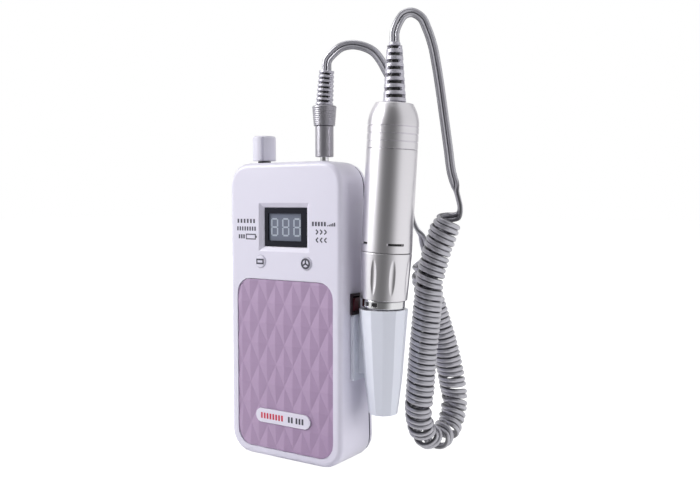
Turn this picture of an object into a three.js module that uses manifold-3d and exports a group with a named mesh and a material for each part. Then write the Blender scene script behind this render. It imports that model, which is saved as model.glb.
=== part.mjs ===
// A portable nail drill: a battery box with a display, a speed knob and a quilted front panel,
// a handpiece that stands in a cup on the box's side, and the curly twin lead between the two.
// Millimetres, +Z up. The box faces -Y, the handpiece stands on its +X side, and the origin is
// the middle of the box's base.
import * as THREE from "three";
import { mergeVertices } from "three/addons/utils/BufferGeometryUtils.js";
import Module from "manifold-3d";

const wasm = await Module();
wasm.setup();

// Clearances
const gap = 0.3; // between two pieces that meet
const seat = 0.1; // between a flat face and the flat face that carries it
const overrun = 2; // how far a cutter runs past what it cuts
const roundSides = 24;
const smallSides = 12;
const screwSides = 8;
const bootSides = 12;
const bodySides = 32; // the handpiece's outer tubes
const degree = Math.PI / 180;

// Box
const boxWidth = 73;
const boxHeight = 158;
const baseDepth = 32.6; // the box is a wedge, deeper at its base
const topDepth = 25.2;
const cornerRadius = 12.2;
const edgeFillet = 2.8;
const wall = 2.2;
const rearCoverDepth = 4.6;
const coverWall = 1.8;
const coverShort = 0.35; // the cover ends this much short of the base and the top
const cornerPoints = 6;
const filletSteps = 3;

// Display
const windowWidth = 28.2;
const windowHeight = 20.9;
const windowDrop = 34.1; // from the box's top to the middle of the window
const windowCentreX = 0.3;
const windowCentreZ = boxHeight - windowDrop;
const pocketChamfer = 2.5;
const pocketDepth = 1.8;
const lensThickness = 1.4;
const lensLedge = 1;
const rimWall = 3;
const moduleWidth = 22.8;
const moduleHeight = 15.2;
const moduleDepth = 6.3;

// Push buttons
const buttonDiameter = 6.7;
const buttonSpread = 30;
const buttonDrop = 52.5; // from the box's top
const buttonZ = boxHeight - buttonDrop;
const buttonProud = 0.7;
const buttonTravel = 0.5;
const flangeDiameter = 9;
const flangeThickness = 0.8;
const stemDiameter = 3;
const switchSize = 6;
const switchDepth = 3.4;
const switchWellDepth = 1.4;

// Quilted panel and its label plate
const panelInset = 5.3; // from the box's sides
const panelBottom = 4.9;
const panelDrop = 62.1; // from the box's top
const panelWidth = boxWidth - 2 * panelInset;
const panelHeight = boxHeight - panelBottom - panelDrop;
const panelRadius = 8.4;
const panelSink = 1.3;
const panelThickness = 0.6;
const reliefHeight = 0.9;
const diamondWidth = 11.4;
const diamondHeight = 22;
const labelWidth = 36;
const labelHeight = 7.6;
const labelThickness = 1.1;
const labelCentreX = -0.6;
const labelCentreZ = 22.5;

// Main board
const boardThickness = 1.6;
const boardInset = 7.5; // from the box's sides
const boardFootDrop = 64; // from the box's top
const boardTopDrop = 19.5;
const boardWidth = boxWidth - 2 * boardInset;
const boardBottom = boxHeight - boardFootDrop;
const boardTop = boxHeight - boardTopDrop;
const postDiameter = 5;
const postInset = 4;

// Screws
const screwDiameter = 2.6;
const screwHeadDiameter = 4.6;
const screwHeadHeight = 1.6;
const screwSlot = 0.7;
const coverScrewLength = 11;
const boardScrewLength = 6;
const holderScrewLength = 4.6;
const bossDiameter = 6.6;
const bossFootInset = 8.2; // the cover's bosses, from the box's sides
const bossTopInset = 6.1;
const bossFootZ = 10.4;
const bossTopDrop = 14.4; // from the box's top
const bossFootX = boxWidth / 2 - bossFootInset;
const bossTopX = boxWidth / 2 - bossTopInset;

// Battery, between the lower bosses and the board
const cellDiameter = 18.2;
const cellNub = 1.4;
const cellNubRadius = 2.8;
const cellTopRoom = 12.5; // from the cells' tops to the board
const trayWall = 1.5;
const trayDepth = 11;
const trayFootRoom = 1; // from the bosses to the tray
const cellBottom = bossFootZ + bossDiameter / 2 + trayFootRoom + trayWall + gap;
const cellLength = boardBottom - cellTopRoom - cellBottom;
const trayHalfWidth = cellDiameter + 2 * gap + (3 * trayWall) / 2;

// Speed control
const knobDiameter = 12.6;
const knobHeight = 13.3;
const knobInset = 14.75; // from the box's left side
const knobCentreX = knobInset - boxWidth / 2;
const knobChamfer = 0.8;
const knobBoreDepth = 9.5;
const knobFacets = 24;
const pointerWidth = 1;
const pointerDepth = 0.6;
const pointerTurn = -60; // degrees from +X, where the pointer stands at rest
const bushingDiameter = 7;
const bushingRise = 1.3;
const shaftDiameter = 5.4;
const shaftPlay = 0.1;
const potWidth = 10;
const potDepth = 9.6;
const potHeight = 6.5;
const potDrop = 0.8; // the shoulder stops short of the wall's rounded corner
const potShoulderDiameter = 8.6;
const potShoulderHeight = 1.4;

// Output jack and plug
const topPartsY = -4.3; // the knob and the plug stand on this line
const plugInset = 18.3; // from the box's right side
const plugCentreX = boxWidth / 2 - plugInset;
const jackDiameter = 8.2;
const jackLength = 16;
const pinDiameter = 4.6;
const pinLength = 14.5;
const pinShow = 2.6;
const plugBodyDiameter = 9.5;
const plugBodyLength = 15.8;
const collarFootDiameter = 11.1;
const collarTopDiameter = 12.7;
const collarLength = 10.4;
const collarRound = 0.8;
const plugBootLength = 17.4;
const plugBootFootDiameter = 9.2;
const plugBootTipDiameter = 7.8;
const bootRibDepth = 0.9;
const pinInBody = 6;
const plugBootRibs = 7;
const plugBootLean = 5; // degrees

// Charging socket, in the left wall
const chargeZ = 24;
const chargeNose = 5.6;
const chargeBore = 3.6;
const chargePin = 1.3;
const chargeBody = 9;
const chargeRoom = 2.15; // from the socket's end to the battery tray
const chargeBackWall = 5.2;
const chargeLength = boxWidth / 2 - wall - seat - trayHalfWidth - chargeRoom;

// Power switch, in the right wall
const powerY = -4;
const powerDrop = 73; // from the box's top
const powerZ = boxHeight - powerDrop;
const powerWidth = 8.4;
const powerHeight = 10.8;
const powerFlange = 1;
const powerBodyDepth = 10;
const powerLip = 0.7; // the flange's overlap on the wall, and the frame's own wall
const rockerPivotDepth = 0.6;
const rockerRise = 1.2; // from the pivot to the rocker's raised ends
const rockerHalfHeight = 3.5;
const rockerDip = 0.6; // from the pivot to the middle of the rocker's face
const rockerBack = 1.6;
const rockerBackHalf = 2.6;
const rockerPocketDepth = 4.4;
const rockerTilt = 8; // degrees to each side of the middle

// Holder
const plateWidth = 17.6;
const plateHeight = 34;
const plateBottom = powerZ - powerHeight / 2 - seat - plateHeight;
const plateThickness = 2;
const plateRadius = 1.5;
const cupStandOff = 14.5; // from the box's side to the cup's middle
const cupCentreX = boxWidth / 2 + cupStandOff;
const cupCentreY = 0.9;
const cupFacets = 12;
const cupWall = 1.7;
const cupRimRise = 37.5; // from the plate's foot
const cupWaistRise = 1;
const cupFootDrop = 16.5;
const cupRimZ = plateBottom + cupRimRise;
const cupWaistZ = plateBottom + cupWaistRise;
const cupFootZ = plateBottom - cupFootDrop;
const cupRimRadius = 12.6;
const cupWaistRadius = 9.7;
const cupFootRadius = 7.4;
const webWidth = 8;
const webFootRise = 3.5;
const webTopRise = 32.5;
const webBottom = plateBottom + webFootRise;
const webTop = plateBottom + webTopRise;

// Handpiece, measured along its own axis from the foot of its lock ring
const handpieceTilt = 3.4; // degrees, leaning away from the box
const ringRadius = 10.9;
const ringLength = 3.9;
const ringSlotTurns = [-111, -85]; // degrees from +X, with two more across from them
const ringSlotWidth = 3.2;
const ringSlotHeight = 1.8;
const ringSlotDepth = 0.7;
const sleeveFootRadius = 11.9;
const sleeveTopRadius = 13;
const sleeveLength = 23.8;
const fluteCount = 8;
const fluteLength = 18;
const fluteRadius = 5.2;
const fluteDepth = 0.7;
const fluteSides = 20;
const fluteBowShares = [-1.1, -0.7, 0, 0.7, 1.1]; // of half the flute's length
const fluteTurn = -88; // degrees from +X to the first flute
const barrelRadius = 12.9;
const barrelLength = 51.2;
const tubeWall = 1.7;
const markSlotWidth = 7.6;
const markSlotHeight = 1.1;
const markSlotRise = 4.3;
const markSlots = 4;
const markSlotTurn = -40;
const tailLength = 22.6;
const tailShoulder = 11.4;
const tailTopRadius = 9.9;
const tailRimDrop = 0.9;
const tailTopWall = 2.4;
const grooveCount = 3;
const groovePitch = 3.7;
const grooveWidth = 0.6;
const grooveDepth = 0.35;
const tailBore = 3.4;
const tailInner = 9.4;
const shoulderSteps = 4;
const shoulderSweep = 28; // degrees of the arc from the cap's side to the rim of its top

// Inside the handpiece
const neckRadius = 8.8;
const housingWall = 1.6;
const spigotLength = 5.4;
const noseTopRadius = 8.7;
const noseFootRadius = 7.4;
const noseTipRadius = 6.5;
const noseEndRadius = 5.6;
const noseConeLength = 20;
const noseTipLength = 6;
const noseLip = 0.8;
const bearingWidth = 4;
const noseBearingRadius = 5.2;
const spindleRadius = 3;
const spindleNose = 31;
const spindleTailDrop = 2; // from the sleeve's top to the spindle's end
const colletRadius = 2;
const colletBore = 1.2;
const colletLength = 12;
const colletShow = 2.4;
const spindleBearingDrop = 8.4; // from the spindle's end
const couplingRadius = 4.6;
const couplingLength = 6.4;
const motorFootRoom = 0.7; // from the front housing to the motor
const motorEndRoom = 0.8; // from the motor to the tail cap
const motorWall = 1.8;
const motorPlate = 2;
const motorShaftRadius = 1.5;
const magnetWall = 1.3;
const magnetEndRoom = 5.2;
const rotorRadius = 6.6;
const commutatorRadius = 3.4;
const commutatorLength = 5;
const commutatorRise = 1;
const tailSpigotLength = 4.6;

// Strain relief on the handpiece
const handBootLength = 29.2;
const handBootFootDiameter = 11.6;
const handBootTipDiameter = 7.6;
const handBootEndDiameter = 5.8;
const handBootRibs = 8;
const handBootNeckDiameter = 6;
const handBootNeckLength = 3;

// Twin lead: two round strands side by side
const cordWidth = 5.1;
const cordThickness = 2.7;
const cordNotch = 0.5;
const cordStep = 5.6;
const coilRadius = 6.35; // from the coil's axis to the middle of the lead
const turnGap = 0.55;
const coilSteps = 8; // steps of one curl
const coilBend = 5; // radius of the bend from the curls into the straight lead
const coilBendSteps = 4;
const coilSampleCount = 900;
const coilTwist = 60; // degrees that a curl tips over on the inner side of the loop's bend
const coilDraw = 0.6;
const coilTightRadius = 21; // a bend as tight as this tips the curls all the way
const coilStartSide = [0.84, 0.54, 0]; // where the lead comes in, seen from the coil's middle
const coilEndSide = [-0.05, 1, 0];

// Middle of the coil, from its end under the handpiece's arch, down to the table and up again
const coilRoute = [
  [73.5, 25.1, 139.8],
  [75.0, 25.2, 133.8],
  [74.4, 25.0, 127.1],
  [72.0, 24.6, 119.5],
  [68.8, 24.0, 109.4],
  [66.1, 23.3, 97.1],
  [64.5, 23.7, 84.8],
  [62.9, 24.2, 70.9],
  [61.1, 25.0, 56.8],
  [59.0, 26.3, 39.1],
  [57.2, 28.4, 24.2],
  [57.4, 34.6, 12.0],
  [60.0, 43.4, 7.85],
  [62.6, 52.2, 11.8],
  [63.6, 57.9, 24.0],
  [62.2, 57.6, 38.2],
  [60.4, 54.7, 52.0],
  [58.4, 50.7, 65.4],
  [55.9, 45.9, 80.0],
  [54.2, 41.9, 92.2],
  [54.0, 39.6, 102.3],
  [52.0, 37.6, 112.7],
];
// The lead from the handpiece's boot over its arch to the coil
const handRoute = [
  [58.6, 2.4, 226.6],
  [60.3, 4.2, 229.9],
  [63.3, 7.0, 231.2],
  [67.0, 10.0, 228.8],
  [69.0, 12.5, 223.4],
  [70.9, 15.0, 215.3],
  [71.7, 17.3, 207.0],
  [72.3, 19.3, 198.8],
  [73.7, 22.2, 181.7],
  [75.2, 24.8, 164.3],
  [75.9, 27.1, 152.8],
];
// The lead from the plug's boot, over the box's corner and behind the handpiece, to the coil
const plugRoute = [
  [24.5, -3.0, 214.6],
  [27.8, -1.8, 216.7],
  [32.7, 0.4, 217.5],
  [37.9, 3.2, 216.3],
  [41.2, 6.8, 214.1],
  [42.8, 11.0, 210.4],
  [44.1, 16.2, 204.3],
  [46.8, 21.0, 196.5],
  [47.6, 25.2, 181.5],
  [48.6, 28.2, 163.0],
  [48.9, 31.8, 145.1],
  [48.2, 37.0, 127.9],
  [48.8, 40.6, 122.4],
];

// Places that follow from the sizes above
const frontY = -baseDepth / 2;
const backFootY = baseDepth / 2;
const backTopY = frontY + topDepth;
const backSlope = Math.atan((backFootY - backTopY) / boxHeight);
const seamFootY = backFootY - rearCoverDepth;
const sideX = boxWidth / 2;
const topInnerZ = boxHeight - wall;
const rimDepth = pocketDepth + lensThickness + seat + lensLedge;
const moduleFrontY = frontY + pocketDepth + lensThickness + gap;
const boardFrontY = moduleFrontY + moduleDepth + seat;
const boardBackY = boardFrontY + boardThickness;
const trayFrontY = frontY + wall + seat;
const cellX = cellDiameter / 2 + gap + trayWall / 2;
const cellY = trayFrontY + trayWall + gap + cellDiameter / 2;
const coverThickness = rearCoverDepth - gap;
const coverScrewSeat = coverThickness - screwHeadHeight - seat;
const bossPlaces = [-1, 1].flatMap((side) => [
  [side * bossFootX, bossFootZ],
  [side * bossTopX, boxHeight - bossTopDrop],
]);
const postPlaces = [-1, 1].flatMap((side) => [
  [side * (boardWidth / 2 - postInset), boardBottom + postInset],
  [side * (boardWidth / 2 - postInset), boardTop - postInset],
]);
const screwPostPlaces = [postPlaces[0], postPlaces[3]];
const buttonPlaces = [-1, 1].map((side) => [(side * buttonSpread) / 2, buttonZ]);
const holderScrewPlaces = [
  [cupCentreY, webBottom + webWidth / 2],
  [cupCentreY, webTop - webWidth / 2],
];
const holderScrewTipX = sideX - wall - seat + holderScrewLength;

// A closed geometry as a solid that can be cut and joined.
function solidOf(geometry) {
  const plain = geometry.index ? geometry.toNonIndexed() : geometry.clone();
  plain.deleteAttribute("normal");
  plain.deleteAttribute("uv");
  const merged = mergeVertices(plain, 1e-4);
  const index = merged.index.array;
  const kept = [];
  for (let i = 0; i < index.length; i += 3) {
    const [a, b, c] = [index[i], index[i + 1], index[i + 2]];
    if (a !== b && b !== c && c !== a) kept.push(a, b, c);
  }
  const solid = (corners) => new wasm.Manifold(new wasm.Mesh({
    numProp: 3,
    vertProperties: new Float32Array(merged.attributes.position.array),
    triVerts: new Uint32Array(corners),
  }));
  const made = solid(kept);
  return made.volume() > 0 ? made : solid(kept.reverse());
}

function geometryOf(solid) {
  const { numProp, vertProperties, triVerts } = solid.getMesh();
  const count = vertProperties.length / numProp;
  const position = new Float32Array(3 * count);
  for (let i = 0; i < count; i += 1) {
    for (let k = 0; k < 3; k += 1) position[3 * i + k] = vertProperties[numProp * i + k];
  }
  const geometry = new THREE.BufferGeometry();
  geometry.setAttribute("position", new THREE.BufferAttribute(position, 3));
  geometry.setIndex(new THREE.BufferAttribute(new Uint32Array(triVerts), 1));
  geometry.computeVertexNormals();
  return geometry;
}

const joined = (first, ...rest) => rest.reduce((all, one) => all.add(one), first);
const cut = (first, ...rest) => rest.reduce((all, one) => all.subtract(one), first);

// A block between its low corner and its high corner
function block([x0, y0, z0], [x1, y1, z1]) {
  const geometry = new THREE.BoxGeometry(x1 - x0, y1 - y0, z1 - z0);
  return solidOf(geometry.translate((x0 + x1) / 2, (y0 + y1) / 2, (z0 + z1) / 2));
}

// A round bar along X, Y or Z, from one place on that axis to another
function bar(axis, radius, [a, b], from, to, sides = roundSides) {
  const geometry = new THREE.CylinderGeometry(radius, radius, to - from, sides);
  const middle = (from + to) / 2;
  if (axis === "x") geometry.rotateZ(-Math.PI / 2);
  if (axis === "z") geometry.rotateX(Math.PI / 2);
  const places = { x: [middle, a, b], y: [a, middle, b], z: [a, b, middle] };
  return solidOf(geometry.translate(...places[axis]));
}

// A profile of [radius, height] points, closed on the axis or on itself, turned round Z
function turned(profile, sides = roundSides) {
  const points = profile.map(([radius, height]) => new THREE.Vector2(radius, height));
  return solidOf(new THREE.LatheGeometry(points, sides).rotateX(Math.PI / 2));
}

const ringOf = (outer, inner, low, high, sides = roundSides) =>
  turned([[inner, low], [outer, low], [outer, high], [inner, high], [inner, low]], sides);

const rodOf = (radius, low, high, sides = roundSides) =>
  turned([[0, low], [radius, low], [radius, high], [0, high]], sides);

function roundedOutline(width, height, radius) {
  const shape = new THREE.Shape();
  const corners = [[1, -1, -90], [1, 1, 0], [-1, 1, 90], [-1, -1, 180]];
  for (const [sideways, upright, start] of corners) {
    for (let i = 0; i < cornerPoints; i += 1) {
      const angle = (start + (90 * i) / (cornerPoints - 1)) * degree;
      const x = sideways * (width / 2 - radius) + radius * Math.cos(angle);
      const z = upright * (height / 2 - radius) + radius * Math.sin(angle);
      if (shape.curves.length || i) shape.lineTo(x, z);
      else shape.moveTo(x, z);
    }
  }
  shape.closePath();
  return shape;
}

// An outline in X and Z carried along Y from the front to the back, with its edges rounded on request
function plank(shape, front, back, fillet = 0) {
  const bevel = {
    bevelThickness: fillet, bevelSize: fillet, bevelOffset: -fillet, bevelSegments: filletSteps,
  };
  const depth = back - front - 2 * fillet;
  const geometry = new THREE.ExtrudeGeometry(shape, { depth, bevelEnabled: fillet > 0, ...bevel });
  return solidOf(geometry.rotateX(Math.PI / 2).translate(0, back - fillet, 0));
}

// One rectangle in the front plane, narrowing to a smaller one at its depth
function mitredPocket(width, height, chamfer, depth) {
  const geometry = new THREE.BoxGeometry(width, depth + overrun, height);
  const place = geometry.attributes.position;
  const widening = (chamfer * (depth + overrun)) / depth;
  for (let i = 0; i < place.count; i += 1) {
    const growth = place.getY(i) < 0 ? widening : 0;
    place.setX(i, place.getX(i) + Math.sign(place.getX(i)) * growth);
    place.setZ(i, place.getZ(i) + Math.sign(place.getZ(i)) * growth);
  }
  return solidOf(geometry.translate(0, (depth - overrun) / 2, 0));
}

// A screw whose head's underside is at zero and whose shank runs along -Y
function screw(length) {
  const shank = bar("y", screwDiameter / 2, [0, 0], -length, screwHeadHeight / 2, screwSides);
  const head = bar("y", screwHeadDiameter / 2, [0, 0], 0, screwHeadHeight, smallSides);
  const slot = block(
    [-screwHeadDiameter, screwHeadHeight / 2, -screwSlot / 2],
    [screwHeadDiameter, screwHeadHeight + overrun, screwSlot / 2]);
  return cut(joined(head, shank), slot);
}

const finish = (color, roughness, metalness = 0) =>
  new THREE.MeshStandardMaterial({ color, roughness, metalness });

const part = new THREE.Group();

function addPiece(name, solid, material, parent = part) {
  const mesh = new THREE.Mesh(geometryOf(solid), material.clone());
  mesh.name = name;
  parent.add(mesh);
  return mesh;
}

const paleShell = finish(0xe6e2f0, 0.3);
const holderWhite = finish(0xe4e7f0, 0.3);
const mauve = finish(0xb596c0, 0.35);
const labelWhite = finish(0xeeeef2, 0.35);
const greyRubber = finish(0x9a9aa2, 0.6);
const leadGrey = finish(0x8b8b93, 0.5);
const plugGrey = finish(0x85878c, 0.3);
const satinMetal = finish(0xc8c8cc, 0.35, 0.9);
const chrome = finish(0xd8d8dc, 0.12, 1);
const steel = finish(0xb0b2b6, 0.3, 1);
const blackGlass = finish(0x16161b, 0.1);
const moduleGrey = finish(0x9c9ca2, 0.6);
const blackPlastic = finish(0x1d1a1c, 0.4);
const darkRed = finish(0x7a1418, 0.35);
const boardGreen = finish(0x1f6b45, 0.5);
const cellBlue = finish(0x4a78b0, 0.4);
const copper = finish(0xa0613c, 0.4, 0.9);

// The rear cover and its screws lie square to the box's sloping back
const coverFrame = new THREE.Group();
coverFrame.position.set(0, seamFootY + gap, 0);
coverFrame.rotation.x = backSlope;
part.add(coverFrame);
const inBoxFrame = (solid) => solid.rotate([backSlope / degree, 0, 0]).translate([0, seamFootY + gap, 0]);
const coverScrewPlaces = bossPlaces.map(([x, z]) => [x, z / Math.cos(backSlope)]);

function frontShell() {
  const raised = (solid) => solid.translate([0, 0, boxHeight / 2]);
  const outside = plank(
    roundedOutline(boxWidth, boxHeight, cornerRadius), frontY, backFootY + 2 * edgeFillet, edgeFillet);
  const inside = plank(
    roundedOutline(boxWidth - 2 * wall, boxHeight - 2 * wall, cornerRadius - wall),
    frontY + wall, backFootY + 4 * edgeFillet);
  const rootY = frontY + wall / 2; // what stands on the front wall starts inside it
  const rim = block(
    [windowCentreX - windowWidth / 2 - rimWall, rootY, windowCentreZ - windowHeight / 2 - rimWall],
    [windowCentreX + windowWidth / 2 + rimWall, frontY + rimDepth,
      windowCentreZ + windowHeight / 2 + rimWall]);
  const bosses = bossPlaces.map((place) => bar("y", bossDiameter / 2, place, rootY, backFootY, smallSides));
  const posts = postPlaces.map((place) =>
    bar("y", postDiameter / 2, place, rootY, boardFrontY - seat, smallSides));
  const shell = joined(raised(outside).subtract(raised(inside)), rim, ...bosses, ...posts);

  const pocket = mitredPocket(windowWidth, windowHeight, pocketChamfer, pocketDepth)
    .translate([windowCentreX, frontY, windowCentreZ]);
  const lensHole = block(
    [windowCentreX - windowWidth / 2, frontY - overrun, windowCentreZ - windowHeight / 2],
    [windowCentreX + windowWidth / 2, frontY + rimDepth - lensLedge, windowCentreZ + windowHeight / 2]);
  const sightHalfWidth = windowWidth / 2 - lensLedge;
  const sightHalfHeight = windowHeight / 2 - lensLedge;
  const sight = block(
    [windowCentreX - sightHalfWidth, frontY, windowCentreZ - sightHalfHeight],
    [windowCentreX + sightHalfWidth, frontY + rimDepth + overrun, windowCentreZ + sightHalfHeight]);
  const panelPocket = plank(
    roundedOutline(panelWidth + 2 * gap, panelHeight + 2 * gap, panelRadius + gap),
    frontY - overrun, frontY + panelSink).translate([0, 0, panelBottom + panelHeight / 2]);
  const buttonHoles = buttonPlaces.map((place) =>
    bar("y", buttonDiameter / 2 + gap, place, frontY - overrun, frontY + wall + overrun, smallSides));
  const coverScrewHoles = coverScrewPlaces.map((place) => inBoxFrame(
    bar("y", screwDiameter / 2 + gap, place, coverScrewSeat - coverScrewLength - gap, overrun, screwSides)));
  const boardScrewHoles = screwPostPlaces.map((place) =>
    bar("y", screwDiameter / 2 + gap, place, boardBackY - boardScrewLength - gap, boardFrontY, screwSides));
  const topHoles = [
    bar("z", bushingDiameter / 2 + gap, [knobCentreX, topPartsY], topInnerZ - overrun, boxHeight + overrun),
    bar("z", jackDiameter / 2 + gap, [plugCentreX, topPartsY], topInnerZ - overrun, boxHeight + overrun),
  ];
  const chargeHole = bar("x", chargeNose / 2 + gap, [0, chargeZ], -sideX - overrun, -sideX + wall + overrun);
  const powerHalfWidth = powerWidth / 2 - powerLip + gap;
  const powerHalfHeight = powerHeight / 2 - powerLip + gap;
  const powerHole = block(
    [sideX - wall - overrun, powerY - powerHalfWidth, powerZ - powerHalfHeight],
    [sideX + overrun, powerY + powerHalfWidth, powerZ + powerHalfHeight]);
  const holderScrewHoles = holderScrewPlaces.map((place) =>
    bar("x", screwDiameter / 2 + gap, place, sideX - wall - overrun, sideX + overrun, screwSides));
  const behindSeam = block([-boxWidth, -gap, -boxHeight], [boxWidth, boxHeight, 2 * boxHeight]);
  return cut(shell, pocket, lensHole, sight, panelPocket, ...buttonHoles, ...coverScrewHoles,
    ...boardScrewHoles, ...topHoles, chargeHole, powerHole, ...holderScrewHoles, inBoxFrame(behindSeam));
}

function rearCover() {
  const height = boxHeight / Math.cos(backSlope) - 2 * coverShort;
  const middle = coverShort + height / 2;
  const outside = plank(
    roundedOutline(boxWidth, height, cornerRadius), -rearCoverDepth, coverThickness, edgeFillet);
  const inside = plank(
    roundedOutline(boxWidth - 2 * coverWall, height - 2 * coverWall, cornerRadius - coverWall),
    -2 * rearCoverDepth, coverThickness - coverWall);
  const beforeSeam = block([-boxWidth, -2 * rearCoverDepth, -boxHeight], [boxWidth, 0, boxHeight]);
  const columns = coverScrewPlaces.map((place) =>
    bar("y", bossDiameter / 2, place, 0, coverThickness - coverWall / 2, smallSides));
  const holes = coverScrewPlaces.flatMap((place) => [
    bar("y", screwDiameter / 2 + gap, place, -overrun, rearCoverDepth, screwSides),
    bar("y", screwHeadDiameter / 2 + gap, place, coverScrewSeat - seat, rearCoverDepth + overrun, smallSides),
  ]);
  const tray = cut(outside, inside, beforeSeam).translate([0, 0, middle]);
  return cut(joined(tray, ...columns), ...holes);
}

addPiece("front_shell", frontShell(), paleShell);
addPiece("rear_cover", rearCover(), paleShell, coverFrame);
["lower_left", "upper_left", "lower_right", "upper_right"].forEach((corner, i) => {
  const [x, z] = coverScrewPlaces[i];
  const mesh = addPiece(`cover_screw_${corner}`, screw(coverScrewLength), steel, coverFrame);
  mesh.position.set(x, coverScrewSeat, z);
});

// Quilted panel: long diamonds in staggered rows, each one four flats that rise to its middle
function quilting() {
  const columns = Math.ceil(panelWidth / diamondWidth) + 1;
  const rows = Math.ceil(panelHeight / diamondHeight) + 1;
  const faces = [];
  const low = -reliefHeight;
  const at = (i, k, y) => [(i * diamondWidth) / 2, y, (k * diamondHeight) / 2];
  for (let i = -columns; i <= columns; i += 1) {
    for (let k = -rows; k <= rows; k += 1) {
      if ((i + k) % 2) continue;
      const corners = [at(i + 1, k, 0), at(i, k + 1, 0), at(i - 1, k, 0), at(i, k - 1, 0)];
      const crown = at(i, k, low);
      corners.forEach((corner, n) => faces.push(corner, corners[(n + 1) % 4], crown));
    }
  }
  return faces.flat();
}

function diamondPanel() {
  const middleZ = panelBottom + panelHeight / 2;
  const place = (solid) => solid.translate([0, 0, middleZ]);
  const outlineOf = (grow) => roundedOutline(panelWidth + grow, panelHeight + grow, panelRadius + grow / 2);
  const plate = plank(outlineOf(0), frontY + panelSink - seat - panelThickness, frontY + panelSink - seat);
  const floorY = frontY + panelSink - seat - panelThickness;
  const crowns = new THREE.BufferGeometry();
  crowns.setAttribute("position", new THREE.Float32BufferAttribute(quilting(), 3));
  const relief = reliefSolid(crowns).translate([0, floorY, 0]);
  const trimmed = relief.intersect(
    plank(outlineOf(0), floorY - 2 * reliefHeight, floorY + panelThickness / 2));
  const labelSeat = plank(labelOutline(2 * gap), floorY - 2 * reliefHeight, floorY)
    .translate([labelCentreX, 0, labelCentreZ - middleZ]);
  return place(cut(joined(plate, trimmed), labelSeat));
}

// The crowns' sheet as a solid, closed by a flat back
function reliefSolid(sheet) {
  const front = Array.from(sheet.attributes.position.array);
  const back = [];
  const depth = panelThickness / 2;
  const edges = new Map();
  const keyOf = (p) => p.map((v) => v.toFixed(4)).join(" ");
  for (let i = 0; i < front.length; i += 9) {
    const corners = [0, 3, 6].map((k) => front.slice(i + k, i + k + 3));
    const behind = corners.map(([x, , z]) => [x, depth, z]);
    back.push(...behind[2], ...behind[1], ...behind[0]);
    corners.forEach((corner, n) => {
      const next = corners[(n + 1) % 3];
      const twin = keyOf(next) + keyOf(corner);
      if (edges.has(twin)) edges.delete(twin);
      else edges.set(keyOf(corner) + keyOf(next), [corner, next]);
    });
  }
  const rim = [...edges.values()].flatMap(([a, b]) => {
    const [c, d] = [[a[0], depth, a[2]], [b[0], depth, b[2]]];
    return [...b, ...a, ...c, ...b, ...c, ...d];
  });
  const closed = new THREE.BufferGeometry();
  closed.setAttribute("position", new THREE.Float32BufferAttribute([...front, ...back, ...rim], 3));
  return solidOf(closed);
}

function labelOutline(grow) {
  return roundedOutline(labelWidth + grow, labelHeight + grow, (labelHeight + grow) / 2);
}

addPiece("diamond_panel", diamondPanel(), mauve);
const labelBackY = frontY + panelSink - seat - panelThickness - seat;
addPiece("label_plate", plank(labelOutline(0), labelBackY - labelThickness, labelBackY)
  .translate([labelCentreX, 0, labelCentreZ]), labelWhite);

// Display
const lensFrontY = frontY + pocketDepth;
addPiece("display_lens", block(
  [windowCentreX - windowWidth / 2 + gap, lensFrontY, windowCentreZ - windowHeight / 2 + gap],
  [windowCentreX + windowWidth / 2 - gap, lensFrontY + lensThickness, windowCentreZ + windowHeight / 2 - gap],
), blackGlass);
addPiece("display_module", block(
  [windowCentreX - moduleWidth / 2, moduleFrontY, windowCentreZ - moduleHeight / 2],
  [windowCentreX + moduleWidth / 2, boardFrontY - seat, windowCentreZ + moduleHeight / 2],
), moduleGrey);

// Main board, on its posts
function mainBoard() {
  const plate = block([-boardWidth / 2, boardFrontY, boardBottom], [boardWidth / 2, boardBackY, boardTop]);
  const holes = screwPostPlaces.map((place) =>
    bar("y", screwDiameter / 2 + gap, place, boardFrontY - overrun, boardBackY + overrun, screwSides));
  return cut(plate, ...holes);
}
addPiece("main_board", mainBoard(), boardGreen);
["lower", "upper"].forEach((level, i) => {
  const [x, z] = screwPostPlaces[i];
  addPiece(`board_screw_${level}`, screw(boardScrewLength), steel).position.set(x, boardBackY + seat, z);
});

// Push buttons and the switches behind them
const flangeY = frontY + wall + seat;
const switchFrontY = boardFrontY - seat - switchDepth;
const stemEndY = switchFrontY + switchWellDepth - buttonTravel - gap;
["left", "right"].forEach((side, i) => {
  const place = buttonPlaces[i];
  const cap = bar("y", buttonDiameter / 2, place, frontY - buttonProud, flangeY + flangeThickness / 2);
  const flange = bar("y", flangeDiameter / 2, place, flangeY, flangeY + flangeThickness);
  const stem = bar("y", stemDiameter / 2, place, flangeY + flangeThickness / 2, stemEndY, smallSides);
  addPiece(`${side}_button`, joined(cap, flange, stem), paleShell);
  const [x, z] = place;
  const housing = block(
    [x - switchSize / 2, switchFrontY, z - switchSize / 2],
    [x + switchSize / 2, switchFrontY + switchDepth, z + switchSize / 2]);
  const well = bar("y", stemDiameter / 2 + gap, place, switchFrontY - overrun, switchFrontY + switchWellDepth,
    smallSides);
  addPiece(`${side}_button_switch`, housing.subtract(well), blackPlastic);
});

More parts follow.
